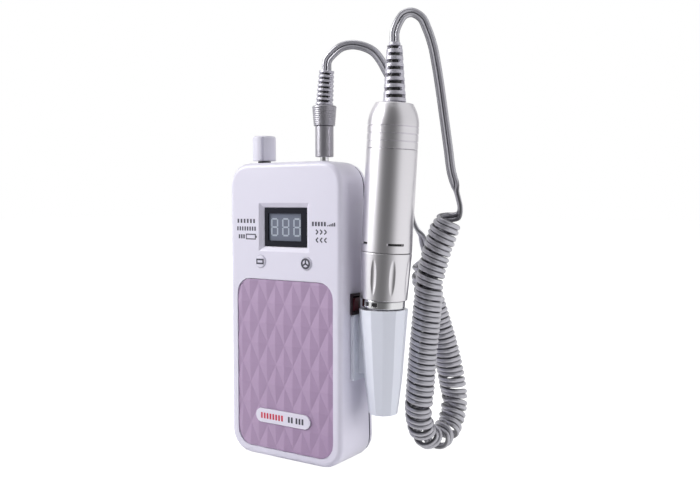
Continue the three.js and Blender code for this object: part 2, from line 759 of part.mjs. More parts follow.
// Battery
function batteryTray() {
  const low = cellBottom - gap - trayWall;
  const high = cellBottom + cellLength + gap + trayWall;
  const body = block([-trayHalfWidth, trayFrontY, low], [trayHalfWidth, trayFrontY + trayDepth, high]);
  const troughs = [-1, 1].map((side) => bar("z", cellDiameter / 2 + gap, [side * cellX, cellY],
    cellBottom - gap, cellBottom + cellLength + gap));
  return cut(body, ...troughs);
}
addPiece("battery_tray", batteryTray(), blackPlastic);
["left", "right"].forEach((side, i) => {
  const x = (2 * i - 1) * cellX;
  const cell = turned([
    [0, 0], [cellDiameter / 2, 0], [cellDiameter / 2, cellLength - cellNub],
    [cellNubRadius, cellLength - cellNub], [cellNubRadius, cellLength], [0, cellLength],
  ]);
  addPiece(`battery_cell_${side}`, cell, cellBlue).position.set(x, cellY, cellBottom);
});

// Speed control: a potentiometer under the top wall, its shaft, and the knob on it
const shoulderTopZ = topInnerZ - potDrop;
const potTopZ = shoulderTopZ - potShoulderHeight;
const bushingTopZ = boxHeight + bushingRise;
const knobFootZ = bushingTopZ + gap;
const shaftFootZ = potTopZ - potHeight / 2;
const shaftTopZ = knobFootZ + knobBoreDepth - gap;
function potentiometer() {
  const centre = [knobCentreX, topPartsY];
  const body = block(
    [knobCentreX - potWidth / 2, topPartsY - potDepth / 2, potTopZ - potHeight],
    [knobCentreX + potWidth / 2, topPartsY + potDepth / 2, potTopZ]);
  const shoulder = bar("z", potShoulderDiameter / 2, centre, potTopZ - seat, shoulderTopZ);
  const bushing = bar("z", bushingDiameter / 2, centre, potTopZ, bushingTopZ);
  const bore = bar("z", shaftDiameter / 2 + shaftPlay, centre, shaftFootZ - gap, bushingTopZ + overrun);
  return cut(joined(body, shoulder, bushing), bore);
}
function speedKnob() {
  const radius = knobDiameter / 2;
  const top = knobFootZ + knobHeight;
  const body = turned([
    [0, knobFootZ], [radius, knobFootZ], [radius, top - knobChamfer], [radius - knobChamfer, top], [0, top],
  ], knobFacets);
  const bore = rodOf(shaftDiameter / 2 + gap, knobFootZ - overrun, knobFootZ + knobBoreDepth);
  const pointer = block(
    [radius - pointerDepth, -pointerWidth / 2, knobFootZ - overrun],
    [radius + overrun, pointerWidth / 2, top + overrun]).rotate([0, 0, pointerTurn]);
  return cut(body, bore, pointer);
}
addPiece("speed_potentiometer", potentiometer(), steel);
addPiece("potentiometer_shaft", bar("z", shaftDiameter / 2, [0, 0], shaftFootZ, shaftTopZ), steel)
  .position.set(knobCentreX, topPartsY, 0);
addPiece("speed_knob", speedKnob(), holderWhite).position.set(knobCentreX, topPartsY, 0);

// Output jack in the top wall, and the plug that stands in it
const pinFootZ = boxHeight + pinShow - pinLength;
const plugFootZ = boxHeight + pinShow;
const collarFootZ = plugFootZ + plugBodyLength + seat;
const plugBootZ = collarFootZ + collarLength + seat;
const plugFrame = new THREE.Group();
plugFrame.position.set(plugCentreX, topPartsY, 0);
part.add(plugFrame);
addPiece("output_jack", ringOf(jackDiameter / 2, pinDiameter / 2 + gap, boxHeight - jackLength, boxHeight),
  blackPlastic, plugFrame);
addPiece("plug_pin", rodOf(pinDiameter / 2, pinFootZ, plugFootZ + pinInBody), chrome, plugFrame);
addPiece("plug_body", turned([
  [pinDiameter / 2 + seat, plugFootZ],
  [plugBodyDiameter / 2, plugFootZ],
  [plugBodyDiameter / 2, plugFootZ + plugBodyLength],
  [0, plugFootZ + plugBodyLength],
  [0, plugFootZ + pinInBody + seat],
  [pinDiameter / 2 + seat, plugFootZ + pinInBody + seat],
  [pinDiameter / 2 + seat, plugFootZ],
]), plugGrey, plugFrame);
addPiece("plug_collar", turned([
  [0, collarFootZ], [collarFootDiameter / 2, collarFootZ],
  [collarTopDiameter / 2, collarFootZ + collarLength - collarRound],
  [collarTopDiameter / 2 - collarRound, collarFootZ + collarLength], [0, collarFootZ + collarLength],
]), plugGrey, plugFrame);

// A ribbed strain relief from zero up, tapering to its last rib, which has a diameter of its own
function ribbedBoot(footDiameter, tipDiameter, endDiameter, length, ribs) {
  const pitch = length / (ribs + 1 / 2);
  const radiusAt = (z) => (footDiameter + ((tipDiameter - footDiameter) * z) / length) / 2;
  const profile = [[0, 0]];
  for (let i = 0; i <= ribs; i += 1) {
    const low = i * pitch;
    const high = low + pitch / 2;
    if (i === ribs) {
      profile.push([endDiameter / 2, low], [endDiameter / 2, high]);
      continue;
    }
    profile.push([radiusAt(low), low], [radiusAt(high), high]);
    const next = low + pitch;
    profile.push([radiusAt(high) - bootRibDepth, high], [radiusAt(next) - bootRibDepth, next]);
  }
  profile.push([0, length]);
  return turned(profile, bootSides);
}
const plugBoot = addPiece("plug_boot", ribbedBoot(
  plugBootFootDiameter, plugBootTipDiameter, plugBootTipDiameter, plugBootLength, plugBootRibs,
), greyRubber, plugFrame);
plugBoot.position.z = plugBootZ + (plugBootFootDiameter / 2) * Math.sin(plugBootLean * degree);
plugBoot.rotation.y = plugBootLean * degree;

// Charging socket
function chargeSocket() {
  const outerX = -sideX + seat;
  const bodyX = -sideX + wall + seat;
  const boreEnd = bodyX + chargeLength - chargeBackWall;
  const nose = bar("x", chargeNose / 2, [0, chargeZ], outerX, bodyX + seat);
  const body = block(
    [bodyX, -chargeBody / 2, chargeZ - chargeBody / 2],
    [bodyX + chargeLength, chargeBody / 2, chargeZ + chargeBody / 2]);
  const bore = bar("x", chargeBore / 2, [0, chargeZ], outerX - overrun, boreEnd);
  const pin = bar("x", chargePin / 2, [0, chargeZ], outerX + chargePin, boreEnd + seat, smallSides);
  return joined(cut(joined(nose, body), bore), pin);
}
addPiece("charge_socket", chargeSocket(), blackPlastic);

// Power switch: a framed rocker that tips about its pivot
const flangeFrontX = sideX + seat + powerFlange;
const pivotX = flangeFrontX - rockerPivotDepth;
function powerFrame() {
  const half = [powerWidth / 2, powerHeight / 2];
  const flange = block([sideX + seat, powerY - half[0], powerZ - half[1]],
    [flangeFrontX, powerY + half[0], powerZ + half[1]]);
  const inWall = half.map((size) => size - powerLip);
  const body = block([sideX - powerBodyDepth, powerY - inWall[0], powerZ - inWall[1]],
    [flangeFrontX - powerFlange / 2, powerY + inWall[0], powerZ + inWall[1]]);
  const open = inWall.map((size) => size - powerLip);
  const pocket = block([pivotX - rockerPocketDepth, powerY - open[0], powerZ - open[1]],
    [flangeFrontX + overrun, powerY + open[0], powerZ + open[1]]);
  return cut(joined(flange, body), pocket);
}
function powerRocker() {
  const shape = new THREE.Shape();
  const outline = [
    [-rockerBack, -rockerBackHalf], [rockerRise, -rockerHalfHeight], [rockerDip, 0],
    [rockerRise, rockerHalfHeight], [-rockerBack, rockerBackHalf],
  ];
  outline.forEach(([x, z], i) => (i ? shape.lineTo(x, z) : shape.moveTo(x, z)));
  const halfWidth = powerWidth / 2 - 2 * powerLip - gap;
  return plank(shape, -halfWidth, halfWidth);
}
addPiece("power_switch_frame", powerFrame(), blackPlastic);
const rocker = addPiece("power_rocker", powerRocker(), darkRed);
rocker.position.set(pivotX, powerY, powerZ);
rocker.rotation.y = rockerTilt * degree;

// Holder: a plate on the box's side, a web, and the open, twelve-sided cup
function handpieceHolder() {
  const plateX = sideX + seat;
  const plate = plank(roundedOutline(plateWidth, plateHeight, plateRadius), 0, plateThickness)
    .rotate([0, 0, -90]).translate([plateX, cupCentreY, plateBottom + plateHeight / 2]);
  const web = block(
    [plateX + plateThickness / 2, cupCentreY - webWidth / 2, webBottom],
    [cupCentreX, cupCentreY + webWidth / 2, webTop]);
  const levels = [[cupFootRadius, cupFootZ], [cupWaistRadius, cupWaistZ], [cupRimRadius, cupRimZ]];
  const cupOf = (shrink, past) => turned([
    [0, cupFootZ - past], [cupFootRadius - shrink, cupFootZ - past],
    ...levels.map(([radius, z]) => [radius - shrink, z]),
    [cupRimRadius - shrink, cupRimZ + past], [0, cupRimZ + past],
  ].filter(([radius, z], i, all) => !i || radius !== all[i - 1][0] || z !== all[i - 1][1]), cupFacets)
    .translate([cupCentreX, cupCentreY, 0]);
  const holes = holderScrewPlaces.map((place) =>
    bar("x", screwDiameter / 2 + gap, place, sideX, holderScrewTipX + gap, screwSides));
  return cut(joined(plate, web, cupOf(0, 0)), cupOf(cupWall, overrun), ...holes);
}
addPiece("handpiece_holder", handpieceHolder(), holderWhite);
["lower", "upper"].forEach((level, i) => {
  const [y, z] = holderScrewPlaces[i];
  const mesh = addPiece(`holder_screw_${level}`, screw(holderScrewLength), steel);
  mesh.position.set(sideX - wall - seat, y, z);
  mesh.rotation.z = Math.PI / 2;
});

// Handpiece, built along its own axis, which leans away from the box
const tilt = handpieceTilt * degree;
const handpiece = new THREE.Group();
handpiece.position.set(cupCentreX, cupCentreY, cupRimZ + gap + ringRadius * Math.sin(tilt));
handpiece.rotation.y = tilt;
part.add(handpiece);

const sleeveFoot = ringLength + gap;
const sleeveTop = sleeveFoot + sleeveLength;
const barrelFoot = sleeveTop + gap;
const barrelTop = barrelFoot + barrelLength;
const tailFoot = barrelTop + gap;
const tailTop = tailFoot + tailLength;
const sleeveBore = sleeveFootRadius - housingWall;
const housingRadius = sleeveBore - gap;
const housingBore = housingRadius - housingWall;
const barrelBore = barrelRadius - tubeWall;
const spigotRadius = barrelBore - gap;
const noseTip = -(noseConeLength + noseTipLength);

// Something repeated round the handpiece's axis, from a first direction in degrees
const around = (count, first, solid) =>
  Array.from({ length: count }, (_, i) => solid.rotate([0, 0, first + (360 * i) / count]));

function lockRing() {
  const slot = block(
    [ringRadius - ringSlotDepth, -ringSlotWidth / 2, (ringLength - ringSlotHeight) / 2],
    [ringRadius + overrun, ringSlotWidth / 2, (ringLength + ringSlotHeight) / 2]);
  const slots = ringSlotTurns.flatMap((turn) => around(2, turn, slot));
  return cut(ringOf(ringRadius, neckRadius + gap, 0, ringLength), ...slots);
}
function twistSleeve() {
  const body = turned([
    [sleeveBore, sleeveFoot], [sleeveFootRadius, sleeveFoot], [sleeveTopRadius, sleeveTop],
    [sleeveBore, sleeveTop], [sleeveBore, sleeveFoot],
  ], bodySides);
  const lean = Math.atan((sleeveTopRadius - sleeveFootRadius) / sleeveLength);
  const middleRadius = (sleeveFootRadius + sleeveTopRadius) / 2;
  const bow = fluteBowShares.map((share) =>
    [fluteRadius - fluteDepth * share * share, (share * fluteLength) / 2]);
  const flute = turned([[0, bow[0][1]], ...bow, [0, bow[bow.length - 1][1]]], fluteSides)
    .rotate([0, lean / degree, 0])
    .translate([middleRadius + fluteRadius - fluteDepth, 0, (sleeveFoot + sleeveTop) / 2]);
  return cut(body, ...around(fluteCount, fluteTurn, flute));
}
function barrel() {
  const tube = ringOf(barrelRadius, barrelBore, barrelFoot, barrelTop, bodySides);
  const low = barrelFoot + markSlotRise - markSlotHeight / 2;
  const slot = block([barrelBore - overrun, -markSlotWidth / 2, low],
    [barrelRadius + overrun, markSlotWidth / 2, low + markSlotHeight]);
  return cut(tube, ...around(markSlots, markSlotTurn, slot));
}
function tailCap() {
  const shoulder = tailFoot + tailShoulder;
  const rise = tailTop - tailRimDrop - shoulder;
  const sweep = shoulderSweep * degree;
  const profile = [[tailBore, tailTop - tailTopWall], [tailInner, tailTop - tailTopWall - rise / 2],
    [tailInner, tailFoot - tailSpigotLength], [spigotRadius, tailFoot - tailSpigotLength],
    [spigotRadius, tailFoot], [barrelRadius, tailFoot]];
  for (let i = 1; i <= grooveCount; i += 1) {
    const z = tailFoot + i * groovePitch;
    profile.push([barrelRadius, z - grooveWidth / 2], [barrelRadius - grooveDepth, z],
      [barrelRadius, z + grooveWidth / 2]);
  }
  for (let i = 0; i <= shoulderSteps; i += 1) {
    const angle = (i / shoulderSteps) * sweep;
    const inward = (1 - Math.cos(angle)) / (1 - Math.cos(sweep));
    const radius = barrelRadius - (barrelRadius - tailTopRadius) * inward;
    profile.push([radius, shoulder + (rise * Math.sin(angle)) / Math.sin(sweep)]);
  }
  profile.push([tailTopRadius - tailRimDrop, tailTop], [tailBore, tailTop],
    [tailBore, tailTop - tailTopWall]);
  return turned(profile, bodySides);
}
function frontHousing() {
  const bearingTop = noseTip + noseLip + bearingWidth + seat;
  return turned([
    [spindleRadius + gap, noseTip], [noseEndRadius, noseTip], [noseTipRadius, noseTip + noseLip],
    [noseFootRadius, -noseConeLength], [noseTopRadius, -gap], [neckRadius, 0],
    [neckRadius, ringLength + gap / 2],
    [housingRadius, ringLength + gap], [housingRadius, sleeveTop], [spigotRadius, sleeveTop + gap],
    [spigotRadius, barrelFoot + spigotLength], [housingBore, barrelFoot + spigotLength],
    [housingBore, sleeveFoot + housingWall], [noseBearingRadius + gap, -gap],
    [noseBearingRadius + gap, bearingTop],
    [noseBearingRadius + gap, noseTip + noseLip], [spindleRadius + gap, noseTip + noseLip],
    [spindleRadius + gap, noseTip],
  ]);
}
addPiece("lock_ring", lockRing(), chrome, handpiece);
addPiece("twist_sleeve", twistSleeve(), satinMetal, handpiece);
addPiece("barrel", barrel(), satinMetal, handpiece);
addPiece("tail_cap", tailCap(), satinMetal, handpiece);
addPiece("front_housing", frontHousing(), steel, handpiece);

// Spindle, collet, bearings and motor
const spindleTip = -spindleNose;
const noseBearingFoot = noseTip + noseLip + seat;
const spindleTail = sleeveTop - spindleTailDrop;
const spindleBearingFoot = spindleTail - spindleBearingDrop;
const shaftFoot = spindleTail + gap;
const couplingFoot = spindleTail - couplingLength / 2;
const motorFoot = barrelFoot + spigotLength + motorFootRoom;
const motorTop = tailFoot - tailSpigotLength - motorEndRoom;
const motorRadius = spigotRadius;
const magnetRadius = motorRadius - motorWall - gap;
const magnetFoot = motorFoot + motorPlate + commutatorLength;
const magnetTop = motorTop - motorWall - magnetEndRoom;
const rotorFoot = magnetFoot + commutatorRise;
const rotorTop = magnetTop - commutatorRise;
addPiece("spindle", turned([
  [colletRadius + gap, spindleTip], [spindleRadius, spindleTip], [spindleRadius, spindleTail],
  [0, spindleTail],
  [0, spindleTip + colletLength], [colletRadius + gap, spindleTip + colletLength],
  [colletRadius + gap, spindleTip],
], smallSides), steel, handpiece);
const colletFoot = spindleTip - colletShow;
addPiece("collet", ringOf(colletRadius, colletBore, colletFoot, colletFoot + colletLength - gap,
  smallSides), chrome, handpiece);
addPiece("nose_bearing", ringOf(noseBearingRadius, spindleRadius + gap, noseBearingFoot,
  noseBearingFoot + bearingWidth), steel, handpiece);
addPiece("spindle_bearing", ringOf(housingBore - gap, spindleRadius + gap, spindleBearingFoot,
  spindleBearingFoot + bearingWidth), steel, handpiece);
addPiece("drive_coupling", turned([
  [spindleRadius + gap, couplingFoot], [couplingRadius, couplingFoot],
  [couplingRadius, couplingFoot + couplingLength], [motorShaftRadius + gap, couplingFoot + couplingLength],
  [motorShaftRadius + gap, shaftFoot - gap / 2], [spindleRadius + gap, shaftFoot - gap / 2],
  [spindleRadius + gap, couplingFoot],
], smallSides), blackPlastic, handpiece);
addPiece("motor_can", turned([
  [motorRadius - motorWall, motorFoot], [motorRadius, motorFoot], [motorRadius, motorTop],
  [motorShaftRadius + gap, motorTop], [motorShaftRadius + gap, motorTop - motorWall],
  [motorRadius - motorWall, motorTop - motorWall], [motorRadius - motorWall, motorFoot],
]), steel, handpiece);
addPiece("motor_end_plate", ringOf(magnetRadius, motorShaftRadius + gap, motorFoot, motorFoot + motorPlate),
  blackPlastic, handpiece);
addPiece("motor_magnet", ringOf(magnetRadius, magnetRadius - magnetWall, magnetFoot, magnetTop), blackPlastic,
  handpiece);
addPiece("rotor", turned([
  [0, shaftFoot], [motorShaftRadius, shaftFoot], [motorShaftRadius, rotorFoot - commutatorLength],
  [commutatorRadius, rotorFoot - commutatorLength], [commutatorRadius, rotorFoot], [rotorRadius, rotorFoot],
  [rotorRadius, rotorTop], [motorShaftRadius, rotorTop],
  [motorShaftRadius, motorTop - motorWall / 2], [0, motorTop - motorWall / 2],
]), copper, handpiece);

// The handpiece's strain relief stands upright while the handpiece leans
const handBootFrame = new THREE.Group();
const tailTopCentre = new THREE.Vector3(0, 0, tailTop).applyMatrix4(
  new THREE.Matrix4().compose(handpiece.position, handpiece.quaternion, new THREE.Vector3(1, 1, 1)));
const bootLift = gap + (handBootFootDiameter / 2) * Math.sin(tilt);
handBootFrame.position.copy(tailTopCentre).setZ(tailTopCentre.z + bootLift);
part.add(handBootFrame);
addPiece("handpiece_boot", joined(
  ribbedBoot(
    handBootFootDiameter, handBootTipDiameter, handBootEndDiameter, handBootLength, handBootRibs),
  rodOf(handBootNeckDiameter / 2, -handBootNeckLength, bootRibDepth, bootSides),
), greyRubber, handBootFrame);

// Coil of the twin lead: curls of an oblong lead round a middle line, tipped over on the inner side
// of the loop's bend, with a bend at each end into a straight stub.
const vector = ([x, y, z]) => new THREE.Vector3(x, y, z);

function coilRings() {
  const middle = new THREE.CatmullRomCurve3(coilRoute.map(vector), false, "centripetal");
  middle.arcLengthDivisions = coilSampleCount;
  const length = middle.getLength();
  const frames = middle.computeFrenetFrames(coilSampleCount, false);
  const stepLength = length / coilSampleCount;
  const indexAt = (z) => Math.min(coilSampleCount - 1, Math.max(1, Math.round(z / stepLength)));
  const leadAngle = Math.atan((2 * Math.PI * coilRadius) / (cordWidth + turnGap));

  // How the middle line bends at a place along it
  function bendAt(z) {
    const i = indexAt(z);
    const turn = frames.tangents[i + 1].clone().sub(frames.tangents[i - 1]);
    const curvature = turn.length() / (2 * stepLength);
    const share = Math.min(1, curvature * coilTightRadius);
    return { curvature, inward: turn.normalize(), tip: share * share * (3 - 2 * share) };
  }
  function pitchAt(z) {
    const { curvature, tip } = bendAt(z);
    const angle = tip * coilTwist * degree;
    const extent = Math.min(
      (cordWidth + turnGap) / Math.cos(angle), (cordThickness + turnGap) / Math.sin(angle));
    const reach = coilRadius + cordThickness / 2 - coilDraw * tip;
    return Math.max(cordWidth + turnGap, extent / (1 - curvature * reach)) / Math.sin(leadAngle);
  }
  function sideAngle(i, side) {
    const toSide = vector(side);
    return Math.atan2(toSide.dot(frames.binormals[i]), toSide.dot(frames.normals[i]));
  }

  // The straight stub and the bend at an end, as distances along the middle and round it
  const ends = [{ z: 0, turn: 0, lead: 0 }, { z: cordWidth, turn: 0, lead: 0 }];
  for (let k = 1; k <= coilBendSteps; k += 1) {
    const last = ends[ends.length - 1];
    const lead = (leadAngle * k) / coilBendSteps;
    const step = (coilBend * leadAngle) / coilBendSteps;
    const mean = (lead + last.lead) / 2;
    const turn = last.turn + (step * Math.sin(mean)) / coilRadius;
    ends.push({ z: last.z + step * Math.cos(mean), turn, lead });
  }
  const stub = ends[ends.length - 1];
  const counts = [0];
  const first = Math.ceil(stub.z / stepLength);
  const last = Math.floor((length - stub.z) / stepLength);
  for (let i = first; i < last; i += 1) {
    counts.push(counts[counts.length - 1] + stepLength / pitchAt(i * stepLength));
  }
  const firstAngle = sideAngle(0, coilStartSide);
  const swing = firstAngle - sideAngle(coilSampleCount, coilEndSide);
  const fullTurn = 2 * Math.PI;
  const wantedTurn = 2 * stub.turn + fullTurn * counts[counts.length - 1];
  const total = swing + fullTurn * Math.round((wantedTurn - swing) / fullTurn);
  const stepCount = Math.round(((total - 2 * stub.turn) / fullTurn) * coilSteps);
  const turnStep = (total - 2 * stub.turn) / stepCount;

  const path = ends.map((end) => ({ ...end }));
  let i = 0;
  for (let k = 1; k < stepCount; k += 1) {
    const wanted = (counts[counts.length - 1] * k) / stepCount;
    while (counts[i + 1] < wanted) i += 1;
    const share = (wanted - counts[i]) / (counts[i + 1] - counts[i]);
    path.push({
      z: (first + i + share) * stepLength,
      turn: stub.turn + turnStep * k,
      lead: leadAngle,
    });
  }
  ends.slice().reverse().forEach(({ z, turn, lead }) =>
    path.push({ z: length - z, turn: total - turn, lead }));

  return path.map(({ z, turn, lead }) => {
    const i = indexAt(z);
    const angle = firstAngle - turn;
    const centre = middle.getPointAt(Math.min(1, Math.max(0, z / length)));
    const out = frames.normals[i].clone().multiplyScalar(Math.cos(angle))
      .addScaledVector(frames.binormals[i], Math.sin(angle));
    const onward = frames.tangents[i].clone();
    const round = out.clone().cross(onward);
    const { inward, tip } = bendAt(z);
    const facing = Math.max(0, out.dot(inward));
    const tipped = (tip * facing * facing * lead) / leadAngle;
    const turnOver = tipped * coilTwist * degree;
    const thick = cordWidth * Math.sin(turnOver) + cordThickness * Math.cos(turnOver);
    const radius = coilRadius + cordThickness / 2 - thick / 2 - coilDraw * tipped;
    const wide = onward.clone().multiplyScalar(Math.sin(lead)).addScaledVector(round, -Math.cos(lead));
    const across = wide.clone().multiplyScalar(Math.cos(turnOver)).addScaledVector(out, Math.sin(turnOver));
    const outward = out.clone().multiplyScalar(Math.cos(turnOver)).addScaledVector(wide, -Math.sin(turnOver));
    const along = onward.multiplyScalar(Math.cos(lead)).addScaledVector(round, Math.sin(lead));
    return { place: centre.addScaledVector(out, radius), across, outward, along };
  });
}

// The lead's section: flat inside, with the groove between its two strands outside
const coilSection = [
  [-cordWidth / 2, -cordThickness / 2], [cordWidth / 2, -cordThickness / 2],
  [cordWidth / 2, cordThickness / 2],
  [0, cordThickness / 2 - cordNotch], [-cordWidth / 2, cordThickness / 2],
];

function coilTube(rings) {
  const points = rings.map(({ place, across, outward }) => coilSection.map(([u, v]) =>
    place.clone().addScaledVector(across, u).addScaledVector(outward, v)));
  const sides = coilSection.length;
  const index = [];
  for (let i = 0; i + 1 < points.length; i += 1) {
    for (let k = 0; k < sides; k += 1) {
      const [a, b] = [i * sides + k, i * sides + ((k + 1) % sides)];
      index.push(a, b, a + sides, b, b + sides, a + sides);
    }
  }
  const last = (points.length - 1) * sides;
  for (let k = 0; k < sides; k += 1) {
    if (k === 3) continue; // the groove's point is the fan's hub
    const next = (k + 1) % sides;
    if (next === 3) continue;
    index.push(3, next, k, last + 3, last + k, last + next);
  }
  const geometry = new THREE.BufferGeometry();
  geometry.setAttribute("position", new THREE.Float32BufferAttribute(
    points.flat().flatMap((point) => point.toArray()), 3));
  geometry.setIndex(index);
  return { geometry, points };
}

// The least distance between points of the tube that lie half a curl or more apart along it
function leastGap(points) {
  const rim = points.map((ring) => ring.flatMap((point, k) =>
    [0, 1 / 3, 2 / 3].map((share) => point.clone().lerp(ring[(k + 1) % ring.length], share))));
  let least = Infinity;
  for (let i = 0; i < rim.length; i += 1) {
    for (let j = i + coilSteps / 2; j < Math.min(rim.length, i + 3 * coilSteps); j += 1) {
      for (const a of rim[i]) for (const b of rim[j]) least = Math.min(least, a.distanceTo(b));
    }
  }
  return least;
}

const rings = coilRings();
const { geometry: coilGeometry, points: coilPoints } = coilTube(rings);
console.log(`coil: ${((rings.length - 2 * (coilBendSteps + 2)) / coilSteps).toFixed(1)} curls, ` +
  `least gap to itself ${leastGap(coilPoints).toFixed(2)} mm`);
addPiece("cord_coil", solidOf(coilGeometry), leadGrey);

// The straight runs of the lead
const leadSection = new THREE.Shape([
  [cordWidth / 2, 0], [cordWidth / 4, cordThickness / 2], [0, cordThickness / 2 - cordNotch],
  [-cordWidth / 4, cordThickness / 2], [-cordWidth / 2, 0], [-cordWidth / 4, -cordThickness / 2],
  [0, cordNotch - cordThickness / 2], [cordWidth / 4, -cordThickness / 2],
].map(([x, y]) => new THREE.Vector2(x, y)));

function straightLead(tip, up, route, ring, backwards) {
  const arrive = ring.along.clone().multiplyScalar(backwards ? 1 : -1);
  const points = [
    tip.clone().addScaledVector(up, gap),
    tip.clone().addScaledVector(up, gap + cordWidth),
    ...route.map(vector),
    ring.place.clone().addScaledVector(arrive, gap + cordWidth),
    ring.place.clone().addScaledVector(arrive, gap),
  ];
  const extrudePath = new THREE.CatmullRomCurve3(points, false, "centripetal");
  const steps = Math.round(extrudePath.getLength() / cordStep);
  return solidOf(new THREE.ExtrudeGeometry(leadSection, { steps, extrudePath, bevelEnabled: false }));
}
const handTip = handBootFrame.position.clone().setZ(handBootFrame.position.z + handBootLength);
const handUp = new THREE.Vector3(0, 0, 1);
const plugUp = handUp.clone().applyEuler(plugBoot.rotation);
const plugTip = plugBoot.position.clone().add(plugFrame.position).addScaledVector(plugUp, plugBootLength);
addPiece("cord_to_handpiece", straightLead(handTip, handUp, handRoute, rings[0], false), leadGrey);
addPiece("cord_to_plug", straightLead(plugTip, plugUp, plugRoute, rings[rings.length - 1], true), leadGrey);

export default part;
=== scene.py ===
# %% [markdown]
# # A portable nail drill
# A battery box with a small display, a speed knob and a quilted front panel; a handpiece that
# stands in a cup on the box's side; and a curly twin lead between the two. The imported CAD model
# is the fixed frame: each piece made here takes its place from it and rides on one of its bodies.
# Blender works in metres, and the drawings below are in millimetres, so `MM` turns one into the
# other.

# %% Load the frame
import math

import bmesh
import bpy
from mathutils import Matrix, Vector


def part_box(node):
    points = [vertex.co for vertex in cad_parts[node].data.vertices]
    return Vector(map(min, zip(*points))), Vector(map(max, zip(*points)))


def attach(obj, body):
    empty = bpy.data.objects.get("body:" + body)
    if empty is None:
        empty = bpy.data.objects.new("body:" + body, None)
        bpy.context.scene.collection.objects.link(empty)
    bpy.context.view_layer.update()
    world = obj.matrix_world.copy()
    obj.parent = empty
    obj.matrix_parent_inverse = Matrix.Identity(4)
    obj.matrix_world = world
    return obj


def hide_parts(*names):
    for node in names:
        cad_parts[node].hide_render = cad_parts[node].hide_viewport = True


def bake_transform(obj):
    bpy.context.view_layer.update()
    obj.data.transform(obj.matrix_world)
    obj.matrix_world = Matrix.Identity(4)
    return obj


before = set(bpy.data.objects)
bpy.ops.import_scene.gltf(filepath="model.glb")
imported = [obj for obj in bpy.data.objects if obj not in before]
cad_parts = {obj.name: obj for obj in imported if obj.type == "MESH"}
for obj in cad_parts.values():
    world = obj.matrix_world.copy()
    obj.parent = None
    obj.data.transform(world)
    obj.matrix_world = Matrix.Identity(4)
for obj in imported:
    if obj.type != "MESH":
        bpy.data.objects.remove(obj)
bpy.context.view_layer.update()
MM = 0.001


# %% New objects
def in_scene(name, data):
    """A new object that is linked into the scene."""
    made = bpy.data.objects.new(name, data)
    bpy.context.scene.collection.objects.link(made)
    return made


def mesh_object(name, bm):
    """Writes a bmesh into a new mesh object and frees it."""
    mesh = bpy.data.meshes.new(name)
    bm.to_mesh(mesh)
    bm.free()
    return in_scene(name, mesh)


# %% [markdown]
# ## Camera
# The photograph is taken from the front right, a little below the box's top, with a lens of
# moderate length. Upright edges stay nearly parallel, so there is no shift and almost no tilt.

# %% Camera
camera_data = bpy.data.cameras.new("camera")
camera_data.lens = 41.3
camera = in_scene("camera", camera_data)
camera.location = (0.2577, -0.3499, 0.1365)
camera.rotation_euler = (math.radians(86.67), 0, math.radians(32.91))
bpy.context.scene.camera = camera
print("camera lens:", camera_data.lens, "mm")

# %% [markdown]
# ## The lead
# The lead is two round strands moulded side by side. It is 5.1 mm wide and 2.7 mm thick in the
# CAD model, and here a little wider in the coil and narrower in the straight runs, as in the
# photograph. Between its two straight runs it is wound into a curly cord, like an old
# telephone's. A bevelled curve object can't have this section and keep its flat side to the
# coil, so the lead is a mesh tube: a ring of points is placed at each step of the route, and
# each ring is joined to the next.

# %% The lead's section
lead_width, lead_thickness = 5.1 * MM, 2.7 * MM
run_width, coil_width = 4.8 * MM, 5.45 * MM
strand_share, web_half = 0.246, 0.28 * MM
arc_steps = 8
strand_points = arc_steps + 1


def twin_section(width):
    """Two circles side by side, joined by a thin web: points across and outward."""
    strand = width * strand_share
    centre = width / 2 - strand
    opening = math.pi - math.asin(web_half / strand)
    arc = [opening * (2 * i / arc_steps - 1) for i in range(strand_points)]
    right = [(centre + strand * math.cos(a), strand * math.sin(a)) for a in arc]
    left = [(-x, -y) for x, y in right]
    return right + left


print("lead section:", len(twin_section(run_width)), "points")


# %% A smooth curve through chosen points
fine_steps = 60


def eased(value, start=0.0, end=1.0):
    """Rises smoothly from 0 to 1 while the value goes from start to end."""
    share = min(1, max(0, (value - start) / (end - start)))
    return share * share * (3 - 2 * share)


def smooth_curve(points, count):
    """Evenly spaced places on the centripetal Catmull-Rom curve through the points."""
    row = [2 * points[0] - points[1], *points, 2 * points[-1] - points[-2]]
    fine = []
    for a, b, c, d in zip(row, row[1:], row[2:], row[3:]):
        h0, h1, h2 = ((q - p).length ** 0.5 for p, q in ((a, b), (b, c), (c, d)))
        leave = ((b - a) / h0 - (c - a) / (h0 + h1) + (c - b) / h1) * h1
        arrive = ((c - b) / h1 - (d - b) / (h1 + h2) + (d - c) / h2) * h1
        for i in range(fine_steps):
            t = i / fine_steps
            square = -3 * b + 3 * c - 2 * leave - arrive
            cube = 2 * b - 2 * c + leave + arrive
            fine.append(b + leave * t + square * t * t + cube * t * t * t)
    fine.append(points[-1].copy())
    run = [0.0]
    for a, b in zip(fine, fine[1:]):
        run.append(run[-1] + (b - a).length)
    places = []
    k = 0
    for i in range(count + 1):
        wanted = run[-1] * i / count
        while k < len(run) - 2 and run[k + 1] < wanted:
            k += 1
        share = (wanted - run[k]) / (run[k + 1] - run[k])
        places.append(fine[k].lerp(fine[k + 1], share))
    return places, run[-1]


def frames_along(places, side):
    """Direction, side and second side at each place, turned no more than the curve turns."""
    count = len(places)
    onward = [
        (places[min(i + 1, count - 1)] - places[max(i - 1, 0)]).normalized() for i in range(count)
    ]
    sides = [(side - onward[0] * side.dot(onward[0])).normalized()]
    for a, b in zip(onward, onward[1:]):
        sides.append(a.rotation_difference(b) @ sides[-1])
    return onward, sides, [t.cross(n) for t, n in zip(onward, sides)]


